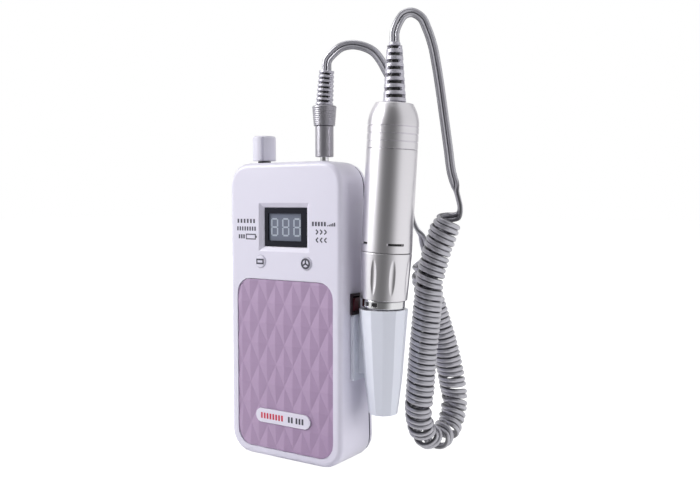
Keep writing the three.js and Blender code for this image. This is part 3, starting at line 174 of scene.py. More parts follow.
# %% [markdown]
# ### Routes
# These are the points that the CAD model follows: the middle of the coil, the run from the
# handpiece over its arch, and the run from the plug behind the handpiece.

# %% Routes, in metres
def in_metres(points):
    return [Vector(point) * MM for point in points]


coil_route = in_metres([
    (73.5, 25.1, 139.8), (75.0, 25.2, 133.8), (74.4, 25.0, 127.1), (72.0, 24.6, 119.5),
    (68.8, 24.0, 109.4), (66.1, 23.3, 97.1), (64.5, 23.7, 84.8), (62.9, 24.2, 70.9),
    (61.1, 25.0, 56.8), (59.0, 26.3, 39.1), (57.2, 28.4, 24.2), (57.4, 34.6, 12.0),
    (60.0, 43.4, 7.85), (62.6, 52.2, 11.8), (63.6, 57.9, 24.0), (62.2, 57.6, 38.2),
    (60.4, 54.7, 52.0), (58.4, 50.7, 65.4), (55.9, 45.9, 80.0), (54.2, 41.9, 92.2),
    (54.0, 39.6, 102.3), (52.0, 37.6, 112.7),
])
hand_route = in_metres([
    (58.6, 2.4, 226.6), (60.3, 4.2, 229.9), (63.3, 7.0, 231.2), (67.0, 10.0, 228.8),
    (69.0, 12.5, 223.4), (70.9, 15.0, 215.3), (71.7, 17.3, 207.0), (72.3, 19.3, 198.8),
    (73.7, 22.2, 181.7), (75.2, 24.8, 164.3), (75.9, 27.1, 152.8),
])
plug_route = in_metres([
    (24.5, -3.0, 214.6), (27.8, -1.8, 216.7), (32.7, 0.4, 217.5), (37.9, 3.2, 216.3),
    (41.2, 6.8, 214.1), (42.8, 11.0, 210.4), (44.1, 16.2, 204.3), (46.8, 21.0, 196.5),
    (47.6, 25.2, 181.5), (48.6, 28.2, 163.0), (48.9, 31.8, 145.1), (48.2, 37.0, 127.9),
    (48.8, 40.6, 122.4),
])

# %% [markdown]
# ### Curls
# Each curl lies against the next, with a gap of half a millimetre between them. Where the coil
# hangs in a loop, the curls can't stay square to its middle line: on the loop's inner side they
# tip over like the slats of a blind, and on its outer side they fan apart. So the pitch and the
# tip both follow the bend at each place.

# %% The coil's rings
coil_radius = 6.35 * MM
turn_gap = 0.55 * MM
coil_samples = 900
curl_steps = 24
bend_radius = 5 * MM
bend_steps = 12
curl_twist = math.radians(60)
curl_draw = 0.6 * MM
tight_radius = 21 * MM
coil_start_side = Vector((0.84, 0.54, 0))
coil_end_side = Vector((-0.05, 1, 0))


def coil_rings():
    """Place, across, outward and onward directions of the lead at each step of its curls."""
    middle, length = smooth_curve(coil_route, coil_samples)
    onwards, normals, binormals = frames_along(middle, Vector((0, 0, 1)).cross(coil_start_side))
    step = length / coil_samples
    square_lead = math.atan(2 * math.pi * coil_radius / (lead_width + turn_gap))

    def index_at(z):
        return min(coil_samples - 1, max(1, round(z / step)))

    def bend_at(z):
        i = index_at(z)
        turn = onwards[i + 1] - onwards[i - 1]
        curvature = turn.length / (2 * step)
        return curvature, turn.normalized(), eased(curvature * tight_radius)

    def pitch_at(z):
        curvature, _, tip = bend_at(z)
        angle = tip * curl_twist
        beside = (lead_width + turn_gap) / math.cos(angle)
        stacked = (lead_thickness + turn_gap) / max(math.sin(angle), 1e-9)
        reach = coil_radius + lead_thickness / 2 - curl_draw * tip
        room = max(lead_width + turn_gap, min(beside, stacked) / (1 - curvature * reach))
        return room / math.sin(square_lead)

    def side_angle(i, side):
        return math.atan2(side.dot(binormals[i]), side.dot(normals[i]))

    ends = [(0, 0, 0), (lead_width, 0, 0)]
    for k in range(1, bend_steps + 1):
        z, turn, last_lead = ends[-1]
        lead = square_lead * k / bend_steps
        run = bend_radius * square_lead / bend_steps
        mean = (lead + last_lead) / 2
        ends.append((z + run * math.cos(mean), turn + run * math.sin(mean) / coil_radius, lead))
    stub_z, stub_turn, _ = ends[-1]

    first = math.ceil(stub_z / step)
    counts = [0.0]
    for i in range(first, math.floor((length - stub_z) / step)):
        counts.append(counts[-1] + step / pitch_at(i * step))
    first_angle = side_angle(0, coil_start_side)
    swing = first_angle - side_angle(coil_samples, coil_end_side)
    full = 2 * math.pi
    wanted = 2 * stub_turn + full * counts[-1]
    total = swing + full * round((wanted - swing) / full)
    steps = round((total - 2 * stub_turn) / full * curl_steps)
    turn_step = (total - 2 * stub_turn) / steps

    path = list(ends)
    i = 0
    for k in range(1, steps):
        count = counts[-1] * k / steps
        while counts[i + 1] < count:
            i += 1
        share = (count - counts[i]) / (counts[i + 1] - counts[i])
        path.append(((first + i + share) * step, stub_turn + turn_step * k, square_lead))
    path += [(length - z, total - turn, lead) for z, turn, lead in reversed(ends)]

    rings = []
    for z, turn, lead in path:
        i = index_at(z)
        angle = first_angle - turn
        sample = min(coil_samples - 1e-9, max(0, z / step))
        centre = middle[int(sample)].lerp(middle[int(sample) + 1], sample % 1)
        out = normals[i] * math.cos(angle) + binormals[i] * math.sin(angle)
        onward = onwards[i]
        about = out.cross(onward)
        _, inward, tip = bend_at(z)
        facing = max(0, out.dot(inward))
        tipped = tip * facing * facing * lead / square_lead
        over = tipped * curl_twist
        thick = lead_width * math.sin(over) + lead_thickness * math.cos(over)
        radius = coil_radius + lead_thickness / 2 - thick / 2 - curl_draw * tipped
        wide = onward * math.sin(lead) - about * math.cos(lead)
        across = wide * math.cos(over) + out * math.sin(over)
        outward = out * math.cos(over) - wide * math.sin(over)
        along = onward * math.cos(lead) + about * math.sin(lead)
        rings.append((centre + out * radius, across, outward, along))
    return rings


coil = coil_rings()
coil_length = sum((b[0] - a[0]).length for a, b in zip(coil, coil[1:]))
print("coil:", len(coil), "rings,", round(coil_length, 3), "m of lead")


# %% A tube from rings
swell_rings = 30


def lead_tube(name, rings, middle_width=run_width):
    """A closed tube of the twin section, with a UV map that runs round it and along it."""
    bm = bmesh.new()
    uv = bm.loops.layers.uv.new("UVMap")
    count = 2 * strand_points
    loops = []
    for i, (place, across, outward, _) in enumerate(rings):
        swell = eased(min(i, len(rings) - 1 - i), 0, swell_rings)
        section = twin_section(run_width + (middle_width - run_width) * swell)
        loops.append([bm.verts.new(place + across * u + outward * v) for u, v in section])
    run = 0.0
    for i, (low, high) in enumerate(zip(loops, loops[1:])):
        ahead = run + (rings[i + 1][0] - rings[i][0]).length
        for k in range(count):
            n = (k + 1) % count
            face = bm.faces.new((low[k], low[n], high[n], high[k]))
            face.smooth = True
            corners = ((k, run), (k + 1, run), (k + 1, ahead), (k, ahead))
            for loop, (turn, along) in zip(face.loops, corners):
                loop[uv].uv = (turn / count, along / MM)
        run = ahead
    bm.faces.new(list(reversed(loops[0])))
    bm.faces.new(loops[-1])
    for low, high in zip(loops, loops[1:]):
        for k in (0, arc_steps, strand_points, count - 1):
            bm.edges.get((low[k], high[k])).smooth = False
    bmesh.ops.recalc_face_normals(bm, faces=bm.faces)
    piece = mesh_object(name, bm)
    print(name, "faces:", len(piece.data.polygons))
    return piece


coil_piece = lead_tube("curly_lead", coil, coil_width)
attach(coil_piece, "box")
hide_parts("cord_coil")

# %% [markdown]
# ### Straight runs
# Each run leaves its strain relief in line with it and meets the coil's straight end. Its flat
# side faces forward for most of the way, so both strands show, and over its last centimetre it
# turns to lie as the nearest curl does. The run to the plug turns edge-on halfway.

# %% Straight runs
joint_gap = 0.05 * MM
run_steps = 160
halfway_span, last_span = (0.4, 0.6), (13 / 14, 1)


def straight_rings(tip, up, route, ring, backwards, forward, halfway_turn=0.0):
    """Rings of a straight run from a strain relief's tip to one end of the coil."""
    place, across, _, along = ring
    arrive = along if backwards else -along
    points = [tip + up * joint_gap, tip + up * (joint_gap + lead_width), *route]
    points += [place + arrive * (joint_gap + lead_width), place + arrive * joint_gap]
    places, length = smooth_curve(points, run_steps)
    onwards, _, _ = frames_along(places, forward)
    flats = [onward.cross(forward).normalized() for onward in onwards]
    last = math.atan2(onwards[-1].dot(flats[-1].cross(across)), flats[-1].dot(across))
    last -= math.pi * round((last - halfway_turn) / math.pi)
    rings = []
    for i, (place, onward, flat) in enumerate(zip(places, onwards, flats)):
        turn = halfway_turn * eased(i / run_steps, *halfway_span)
        turn += (last - halfway_turn) * eased(i / run_steps, *last_span)
        wide = Matrix.Rotation(turn, 3, onward) @ flat
        rings.append((place, wide, wide.cross(onward), onward))
    return rings, length


boot_low, boot_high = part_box("handpiece_boot")
hand_tip = Vector(((boot_low.x + boot_high.x) / 2, (boot_low.y + boot_high.y) / 2, boot_high.z))
plug_boot_lean = math.radians(5)
plug_boot_length = 17.4 * MM
plug_axis = (18.2, -4.3)
plug_boot_foot = Vector((*plug_axis, 187.401)) * MM
plug_up = Vector((math.sin(plug_boot_lean), 0, math.cos(plug_boot_lean)))
plug_tip = plug_boot_foot + plug_up * plug_boot_length
forward = Vector((0.53, -0.85, 0))

hand_rings, hand_length = straight_rings(
    hand_tip, Vector((0, 0, 1)), hand_route, coil[0], False, forward)
plug_rings, plug_length = straight_rings(
    plug_tip, plug_up, plug_route, coil[-1], True, forward, math.radians(90))
hand_lead = lead_tube("lead_to_handpiece", hand_rings)
plug_lead = lead_tube("lead_to_plug", plug_rings)
print("straight runs:", round(hand_length, 3), "m and", round(plug_length, 3), "m")

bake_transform(hand_lead)
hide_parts("cord_to_handpiece")
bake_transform(plug_lead)
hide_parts("cord_to_plug")

# %% [markdown]
# ## Shared effects
# Moulded plastic is never one flat colour: its tone drifts a little over a few centimetres, and
# its skin has a fine grain that breaks up reflections. One node group makes both, and each
# material gives it values of its own. Turned metal has fine rings about its axis instead, so it
# has a second group, and a third one paints shade into the lead's groove and onto its edges.


# %% Colours
def rgb(red, green, blue):
    """A screen colour, 0 to 255, as the linear colour that a shader works in."""
    linear = []
    for value in (red, green, blue):
        value /= 255
        linear.append(value / 12.92 if value <= 0.04045 else ((value + 0.055) / 1.055) ** 2.4)
    return (*linear, 1)


# %% Node helpers
def add_node(tree, kind, values=None, **settings):
    """A new node; the values go into its inputs, by name or by place."""
    node = tree.nodes.new(kind)
    for key, value in settings.items():
        setattr(node, key, value)
    for key, value in (values or {}).items():
        node.inputs[key].default_value = value
    return node


def join(tree, *rows):
    """Links nodes: each row is a node, its output, the next node and its input."""
    for source, output, target, into in rows:
        tree.links.new(source.outputs[output], target.inputs[into])


def smooth_range(tree, first, last, low, high):
    """A node that turns the range from first to last into low to high, with eased ends."""
    return add_node(tree, "ShaderNodeMapRange", {
        "From Min": first, "From Max": last, "To Min": low, "To Max": high,
    }, interpolation_type="SMOOTHSTEP")


def new_group(name, inputs, outputs):
    """A node group whose sockets are rows of name, kind and start value."""
    group = bpy.data.node_groups.new(name, "ShaderNodeTree")
    for way, rows in (("INPUT", inputs), ("OUTPUT", outputs)):
        for label, kind, *start in rows:
            made = group.interface.new_socket(
                name=label, in_out=way, socket_type="NodeSocket" + kind)
            if start:
                made.default_value = start[0]
    return group, add_node(group, "NodeGroupInput"), add_node(group, "NodeGroupOutput")


# %% What both skins share
plain_grey = (0.8, 0.8, 0.8, 1)
skin_outputs = [("Color", "Color"), ("Roughness", "Float"), ("Height", "Float")]


def drift_with(group, given, made, noise, height):
    """Moves the given colour and roughness with one noise, and hands on another as a height."""
    centred = add_node(group, "ShaderNodeMath", {1: 0.5}, operation="SUBTRACT")
    tone = add_node(group, "ShaderNodeMath", {2: 1}, operation="MULTIPLY_ADD")
    tinted = add_node(group, "ShaderNodeVectorMath", operation="SCALE")
    rough = add_node(group, "ShaderNodeMath", operation="MULTIPLY_ADD")
    join(
        group, (noise, "Fac", centred, 0), (centred, 0, tone, 0), (given, "Drift", tone, 1),
        (given, "Color", tinted, 0), (tone, 0, tinted, "Scale"), (centred, 0, rough, 0),
        (given, "Drift", rough, 1), (given, "Roughness", rough, 2), (tinted, 0, made, "Color"),
        (rough, 0, made, "Roughness"), (height, "Fac", made, "Height"))


# %% Group: moulded skin
def moulded_skin_group():
    """Colour and roughness that drift in soft patches, and the height of a fine grain."""
    group, given, made = new_group("moulded skin", [
        ("Color", "Color", plain_grey), ("Roughness", "Float", 0.4),
        ("Patch Scale", "Float", 60), ("Grain Scale", "Float", 4000), ("Drift", "Float", 0.05),
    ], skin_outputs)
    place = add_node(group, "ShaderNodeTexCoord")
    patches = add_node(group, "ShaderNodeTexNoise", {"Detail": 3})
    grain = add_node(group, "ShaderNodeTexNoise", {"Detail": 2})
    join(
        group, (place, "Object", patches, "Vector"), (place, "Object", grain, "Vector"),
        (given, "Patch Scale", patches, "Scale"), (given, "Grain Scale", grain, "Scale"))
    drift_with(group, given, made, patches, grain)
    return group


moulded_skin = moulded_skin_group()

# %% Group: turning marks
handpiece_lean = math.radians(3.4)
ring_stretch = 0.02


def turning_marks_group():
    """Fine rings about the handpiece's leaning axis, as a lathe leaves them."""
    group, given, made = new_group("turning marks", [
        ("Color", "Color", plain_grey), ("Roughness", "Float", 0.3),
        ("Ring Scale", "Float", 3000), ("Drift", "Float", 0.1),
    ], skin_outputs)
    place = add_node(group, "ShaderNodeTexCoord")
    upright = add_node(group, "ShaderNodeMapping", {
        "Location": (-0.051, -0.0009, -0.0839), "Rotation": (0, -handpiece_lean, 0)})
    squeezed = add_node(
        group, "ShaderNodeVectorMath", {1: (ring_stretch, ring_stretch, 1)},
        operation="MULTIPLY")
    rings = add_node(group, "ShaderNodeTexNoise", {"Detail": 4})
    join(
        group, (place, "Object", upright, "Vector"), (upright, "Vector", squeezed, 0),
        (squeezed, 0, rings, "Vector"), (given, "Ring Scale", rings, "Scale"))
    drift_with(group, given, made, rings, rings)
    return group


turning_marks = turning_marks_group()

# %% Group: shade between strands
dark_lines, line_shift = 4, 1.389
line_shade, shade_end = 0.3, 0.25


def strand_shade_group():
    """Darkens a colour in the lead's groove and on its two edges, where little light gets in."""
    group, given, made = new_group(
        "strand shade", [("Color", "Color", plain_grey)], [("Color", "Color")])
    place = add_node(group, "ShaderNodeTexCoord")
    parts = add_node(group, "ShaderNodeSeparateXYZ")
    phase = add_node(group, "ShaderNodeMath", {
        1: 2 * math.pi * dark_lines, 2: -2 * math.pi * line_shift}, operation="MULTIPLY_ADD")
    wave = add_node(group, "ShaderNodeMath", operation="COSINE")
    shade = smooth_range(group, -1.0, shade_end, line_shade, 1.0)
    tinted = add_node(group, "ShaderNodeVectorMath", operation="SCALE")
    join(
        group, (place, "UV", parts, 0), (parts, "X", phase, 0), (phase, 0, wave, 0),
        (wave, 0, shade, "Value"), (given, "Color", tinted, 0),
        (shade, "Result", tinted, "Scale"), (tinted, 0, made, "Color"))
    return group


strand_shade = strand_shade_group()

# %% A material from a group
bump_depth = 0.00002


def finish(name, group, color, roughness, bump, values, shader=None):
    """A Principled material whose colour, roughness and bump come from a shared group."""
    made = bpy.data.materials.new(name)
    made.use_nodes = True
    tree = made.node_tree
    principled = tree.nodes["Principled BSDF"]
    skin = add_node(tree, "ShaderNodeGroup", {
        "Color": color, "Roughness": roughness, **values}, node_tree=group)
    relief = add_node(tree, "ShaderNodeBump", {"Strength": bump, "Distance": bump_depth})
    join(
        tree, (skin, "Color", principled, "Base Color"),
        (skin, "Roughness", principled, "Roughness"), (skin, "Height", relief, "Height"),
        (relief, "Normal", principled, "Normal"))
    for key, value in (shader or {}).items():
        principled.inputs[key].default_value = value
    return made


def plastic(name, color, roughness, bump, patch_scale, grain_scale, drift, shader=None):
    """Moulded plastic or vinyl of a screen colour."""
    values = {"Patch Scale": patch_scale, "Grain Scale": grain_scale, "Drift": drift}
    return finish(name, moulded_skin, rgb(*color), roughness, bump, values, shader)


def metal(name, color, roughness, bump, ring_scale, drift):
    """Turned metal of a linear colour."""
    values = {"Ring Scale": ring_scale, "Drift": drift}
    return finish(name, turning_marks, (*color, 1), roughness, bump, values, {"Metallic": 1.0})


def coat(weight, roughness):
    return {"Coat Weight": weight, "Coat Roughness": roughness}


# %% [markdown]
# ## Finishes
# The shell and the cup are glossy moulded plastic, the shell a pale lilac and the cup a cooler
# white. The panel is a satin mauve under a clear coat. The handpiece is turned aluminium with a
# satin finish, its lock ring is plated, and the lead and the strain reliefs are grey vinyl with
# a metallic sheen.

# %% Plastics: name, colour, roughness, bump, patch scale, grain scale and drift
shell_plastic = plastic(
    "shell plastic", (229, 226, 240), 0.34, 0.06, 25, 2600, 0.03, coat(0.1, 0.2))
seam_shade = plastic("seam shade", (84, 78, 98), 0.6, 0.06, 25, 2600, 0.03)
cup_plastic = plastic(
    "cup plastic", (232, 235, 245), 0.28, 0.06, 30, 2600, 0.03, coat(0.25, 0.12))
knob_plastic = plastic("knob plastic", (228, 226, 238), 0.3, 0.06, 80, 3000, 0.03)
panel_plastic = plastic(
    "quilted panel", (176, 150, 182), 0.36, 0.08, 40, 3200, 0.05, coat(0.3, 0.2))
label_plastic = plastic("label plastic", (232, 228, 242), 0.25, 0.04, 60, 3000, 0.03)
bezel_plastic = plastic(
    "display bezel", (20, 22, 34), 0.2, 0.03, 60, 3000, 0.05, {"Specular IOR Level": 0.25})
screen_film = plastic(
    "display screen", (112, 118, 134), 0.3, 0.02, 90, 5000, 0.12, {"Specular IOR Level": 0.3})
digit_film = plastic("display digits", (178, 186, 198), 0.3, 0.02, 90, 5000, 0.08)
dark_print = plastic("dark print", (72, 70, 84), 0.45, 0.05, 300, 9000, 0.2)
red_print = plastic("red print", (206, 52, 78), 0.45, 0.05, 300, 9000, 0.2)
black_plastic_and_painted_shade = plastic("black plastic and painted shade", (34, 32, 35), 0.42, 0.15, 80, 3500, 0.1)
rocker_plastic = plastic("rocker plastic", (82, 22, 34), 0.3, 0.05, 80, 3500, 0.08)
switch_plastic = plastic("switch frame plastic", (50, 32, 40), 0.4, 0.08, 80, 3500, 0.08)
module_plastic = plastic("module plastic", (150, 150, 156), 0.5, 0.1, 80, 3500, 0.08)
boot_vinyl = plastic(
    "strain relief vinyl", (196, 194, 204), 0.4, 0.12, 120, 2600, 0.08, {"Metallic": 0.5})
plug_plastic = plastic(
    "plug plastic", (172, 170, 177), 0.36, 0.1, 120, 2600, 0.08, {"Metallic": 0.75})
lead_vinyl = plastic(
    "lead vinyl", (194, 193, 200), 0.3, 0.1, 150, 2200, 0.08,
    {"Metallic": 0.55, "Specular IOR Level": 0.9})
board_laminate = plastic("circuit board", (34, 108, 72), 0.4, 0.2, 400, 1800, 0.3)
cell_sleeve = plastic("cell sleeve", (74, 120, 176), 0.35, 0.08, 60, 2500, 0.08)
ferrite = plastic("ferrite", (60, 60, 62), 0.6, 0.3, 200, 2600, 0.1)

# %% Shade in the lead's groove
lead_tree = lead_vinyl.node_tree
lead_shader = lead_tree.nodes["Principled BSDF"]
strands = add_node(lead_tree, "ShaderNodeGroup", node_tree=strand_shade)
lead_tree.links.new(lead_shader.inputs["Base Color"].links[0].from_socket, strands.inputs["Color"])
join(lead_tree, (strands, "Color", lead_shader, "Base Color"))
print("lead vinyl nodes:", len(lead_tree.nodes))

# %% Metals: name, colour, roughness, bump, ring scale and drift
satin_metal = metal("satin aluminium", (0.88, 0.86, 0.9), 0.33, 0.1, 5200, 0.06)
plated_metal = metal("plated ring", (0.82, 0.82, 0.84), 0.12, 0.06, 4200, 0.05)
bare_steel = metal("bare steel", (0.60, 0.60, 0.62), 0.3, 0.12, 4200, 0.1)
copper_winding = metal("copper winding", (0.62, 0.34, 0.2), 0.35, 0.5, 1400, 0.3)
print("finishes:", len(bpy.data.materials))

# %% [markdown]
# ## CAD pieces that keep their shape
# The pieces inside the box and the handpiece, and the screws, need no new shape, only their
# finish. Their meshes are left as they are, and the finish goes into their material slots.


# %% Give each of these CAD nodes its finish
def dress(node, made):
    """Puts one material into every slot of a CAD node."""
    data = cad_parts[node].data
    data.materials.clear()
    data.materials.append(made)


node_finishes = {
    module_plastic: ["display_module"],
    board_laminate: ["main_board"],
    cell_sleeve: ["battery_cell_left", "battery_cell_right"],
    plated_metal: ["collet", "plug_pin"],
    copper_winding: ["rotor"],
    ferrite: ["motor_magnet"],
    black_plastic_and_painted_shade: [
        "left_button_switch", "right_button_switch", "battery_tray", "output_jack",
        "drive_coupling", "motor_end_plate", "speed_potentiometer",
    ],
    bare_steel: [
        "potentiometer_shaft", "board_screw_lower", "board_screw_upper",
        "holder_screw_lower", "holder_screw_upper", "cover_screw_lower_left",
        "cover_screw_upper_left", "cover_screw_lower_right", "cover_screw_upper_right",
        "spindle", "nose_bearing", "spindle_bearing", "motor_can",
    ],
}
for made, names in node_finishes.items():
    for name in names:
        dress(name, made)
print("CAD nodes that stay:", sum(len(names) for names in node_finishes.values()))
for piece in (coil_piece, hand_lead, plug_lead):
    piece.data.materials.append(lead_vinyl)


# %% A new piece from a bmesh
def finished(
        name, bm, made, body, replaced=(), sharp=35, weighted=True, inlay=None):
    """Turns a bmesh into a piece: smooth faces, sharp edges kept, riding on a CAD body.

    Faces with material index 1 take the inlay's finish.
    """
    for face in bm.faces:
        face.smooth = True
    limit = math.radians(sharp)
    for edge in bm.edges:
        edge.smooth = len(edge.link_faces) == 2 and edge.calc_face_angle(0) < limit
    open_edges = sum(len(edge.link_faces) != 2 for edge in bm.edges)
    piece = mesh_object(name, bm)
    for skin in (made, inlay) if inlay else (made,):
        piece.data.materials.append(skin)
    if weighted:
        normals = piece.modifiers.new("even shading", "WEIGHTED_NORMAL")
        normals.keep_sharp = True
        normals.weight = 100
    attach(piece, body)
    if replaced:
        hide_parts(*replaced)
    print(name, "faces:", len(piece.data.polygons), "open edges:", open_edges)
    return piece


# %% Rounded edges
def hard_edges(bm, sharp):
    """Edges whose two faces meet at more than an angle, in degrees."""
    return [
        edge for edge in bm.edges
        if len(edge.link_faces) == 2 and edge.calc_face_angle(0) > math.radians(sharp)
    ]


def bevelled(bm, edges, width, segments=2, clamp=True, material=-1):
    """Rounds the edges; the width is in millimetres."""
    bmesh.ops.bevel(
        bm, geom=edges, offset=width * MM, offset_type="OFFSET", segments=segments, profile=0.5,
        affect="EDGES", clamp_overlap=clamp, material=material)
    return bm


def rounded(bm, width, sharp=30):
    """Turns all normals outward and rounds every hard edge."""
    bmesh.ops.recalc_face_normals(bm, faces=bm.faces)
    return bevelled(bm, hard_edges(bm, sharp), width)


# %% [markdown]
# ## Softened copies
# The CAD model's meshes are loose triangles with hard edges. A moulded piece catches light on
# its rounded edges, so a copy of the mesh is merged, its flat triangles are joined into faces,
# and its hard edges are rounded with a small bevel. The CAD node itself isn't touched.

# %% Soften a copy of a CAD node
weld_distance, flat_angle = 2e-6, math.radians(0.6)


def softened(
        node, name, made, body, width=0.0, sharp=35, segments=2, chosen=None, crease=None,
        shade=None):
    """A merged copy of a CAD node's mesh, with its hard or chosen edges bevelled.

    With a shade, the bevels take that finish.
    """
    bm = bmesh.new()
    bm.from_mesh(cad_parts[node].data)
    bmesh.ops.remove_doubles(bm, verts=bm.verts, dist=weld_distance)
    bmesh.ops.dissolve_limit(bm, angle_limit=flat_angle, verts=bm.verts, edges=bm.edges)
    if width:
        hard = [edge for edge in hard_edges(bm, sharp) if not chosen or chosen(edge)]
        print(name, "edges rounded:", len(hard))
        bevelled(bm, hard, width, segments, clamp=chosen is None, material=1 if shade else -1)
    return finished(name, bm, made, body, [node], crease or sharp, inlay=shade)


# %% [markdown]
# ## Shell
# The box is moulded in two halves that meet in a thin dark line near the back. Their outer
# shape, with its window, its pockets and its screw holes, is already in the CAD model, so both
# are softened copies of it. The small bevels along the line have a darker finish of their own:
# that is painted shade, for the shade held in the narrow gap of a real joint.

# %% Shell halves
box_half_width, box_half_height, box_corner = 36.5, 79.0, 12.2
seam_foot_y, seam_slope = 11.7, math.radians(2.68)
seam_reach, rim_depth, rim_angle = 0.6, 1, math.radians(50)


def on_seam(edge):
    """An edge of the parting line's outer rim: near the seam's plane and on the box's outline."""
    for spot in edge.verts:
        x, y, z = (value / MM for value in spot.co)
        off_plane = abs(y - (seam_foot_y - z * math.tan(seam_slope)))
        aside = max(abs(x) - (box_half_width - box_corner), 0)
        above = max(abs(z - box_half_height) - (box_half_height - box_corner), 0)
        inside = box_corner - math.hypot(aside, above)
        if off_plane > seam_reach or inside > rim_depth:
            return False
    return edge.calc_face_angle(0) > rim_angle


for node, name in (("front_shell", "shell_front"), ("rear_cover", "shell_rear")):
    softened(node, name, shell_plastic, "box", 0.35, chosen=on_seam, shade=seam_shade)

# %% [markdown]
# ## Turned shapes
# The knob, the plug, the strain reliefs and the handpiece are all round. Each is half a section
# spun about an axis, with as many steps as its size needs, and its hard rings are rounded
# with a bevel afterwards.


# %% Spin a profile
join_distance, steepest = 1e-7, 0.7


def turned(profile, steps, start=0.0):
    """Spins (radius, height) points, in millimetres, about the Z axis into a closed body."""
    bm = bmesh.new()
    turn = math.radians(start)
    spots = [
        bm.verts.new((r * MM * math.cos(turn), r * MM * math.sin(turn), z * MM))
        for r, z in profile
    ]
    for a, b in zip(spots, spots[1:]):
        bm.edges.new((a, b))
    bmesh.ops.spin(
        bm, geom=bm.verts[:] + bm.edges[:], cent=(0, 0, 0), axis=(0, 0, 1), dvec=(0, 0, 0),
        angle=2 * math.pi, steps=steps, use_merge=True, use_duplicate=False)
    bmesh.ops.remove_doubles(bm, verts=bm.verts, dist=join_distance)
    bare = [edge for edge in bm.edges if not edge.link_faces]
    bmesh.ops.delete(bm, geom=bare, context="EDGES")
    bmesh.ops.recalc_face_normals(bm, faces=bm.faces)
    return bm


def placed(bm, matrix):
    bmesh.ops.transform(bm, matrix=matrix, verts=bm.verts)
    return bm


def angle_of(place):
    """Direction of a place round the Z axis, in degrees."""
    return math.degrees(math.atan2(place.y, place.x))


def turn_between(angle, centre):
    return abs((angle - centre + 180) % 360 - 180)


def set_radius(spot, radius):
    """Moves a vertex to a distance from the Z axis, in millimetres."""
    share = radius * MM / math.hypot(spot.co.x, spot.co.y)
    spot.co.x *= share
    spot.co.y *= share


def wall_faces(bm, low, high, centre, half):
    """Side faces between two heights and within an angle of a direction."""
    picked = []
    for face in bm.faces:
        middle = face.calc_center_median()
        upright = abs(face.normal.z) <= steepest and low < middle.z / MM < high
        outer = face.normal.dot(Vector((middle.x, middle.y, 0))) >= 0
        if upright and outer and turn_between(angle_of(middle), centre) < half:
            picked.append(face)
    return picked


def sunk(bm, faces, depth):
    """Pushes side faces towards the axis and gives them walls; returns the new floor."""
    made = bmesh.ops.extrude_face_region(bm, geom=faces)["geom"]
    floor = [item for item in made if isinstance(item, bmesh.types.BMFace)]
    bmesh.ops.delete(bm, geom=faces, context="FACES")
    for spot in {spot for face in floor for spot in face.verts}:
        outward = Vector((spot.co.x, spot.co.y, 0)).normalized()
        spot.co -= outward * depth * MM
    return floor


# %% [markdown]
# ## Quilted panel and its label
# The panel's diamonds are low four-sided pyramids, set in staggered rows. Every edge above three
# degrees gets a bevel, so their ridges are soft, and they stand three quarters as high as in the
# CAD model, because the photograph shows them faintly.

# %% Panel
quilted = softened(
    "diamond_panel", "quilted_panel", panel_plastic, "box", 0.7, sharp=3, segments=3,
    crease=40)
panel_valley, panel_relief = -15.7 * MM, 0.75
for spot in quilted.data.vertices:
    if spot.co.y < panel_valley:
        spot.co.y = panel_valley + (spot.co.y - panel_valley) * panel_relief
print("quilting lowered to", panel_relief)


# %% Rounded plates
face_forward = Matrix.Rotation(math.radians(90), 4, "X")


def upright_sheet(width, height, place, corner=0.0):
    """A flat sheet that faces -Y, in metres, with round corners if it has a corner radius."""
    bm = bmesh.new()
    bmesh.ops.create_grid(bm, x_segments=1, y_segments=1, size=0.5)
    bmesh.ops.scale(bm, vec=(width, height, 1), verts=bm.verts)
    if corner:
        bmesh.ops.bevel(
            bm, geom=bm.verts[:], offset=corner, offset_type="OFFSET", segments=12,
            profile=0.5, affect="VERTICES", clamp_overlap=True, material=-1)
    return placed(bm, Matrix.Translation(place) @ face_forward)


def rounded_plate(width, height, radius, front, back, centre, ease):
    """An upright plate with round corners, facing -Y, with its front edge eased."""
    place = Vector((centre[0], back, centre[1])) * MM
    bm = upright_sheet(width * MM, height * MM, place, radius * MM)
    made = bmesh.ops.extrude_face_region(bm, geom=bm.faces[:])["geom"]
    pushed = [item for item in made if isinstance(item, bmesh.types.BMVert)]
    bmesh.ops.translate(bm, vec=(0, (front - back) * MM, 0), verts=pushed)
    return rounded(bm, ease, sharp=50)


label_low, label_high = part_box("label_plate")
label_front = label_low.y / MM
label_centre = (label_low.x + label_high.x) / 2 / MM, (label_low.z + label_high.z) / 2 / MM
finished(
    "label", rounded_plate(36, 7.6, 3.79, label_front, label_high.y / MM, label_centre, 0.3),
    label_plastic, "box", ["label_plate"])

# %% [markdown]
# ## Display
# The window's glass is black with a clear middle, and the screen lies a little way behind it.
# The black frame and the sunken screen are one body here: the front face is inset to the
# screen's outline, and the inner part is pushed back.


# %% Black frame with a sunken screen
screen_left, screen_right = -11.3, 10.4
screen_low, screen_high = 116.7, 131.1
screen_sink = 0.9


def pushed_back(items, depth):
    """Moves the vertices among an operator's results back, by a depth in metres."""
    for spot in items:
        if isinstance(spot, bmesh.types.BMVert):
            spot.co.y += depth


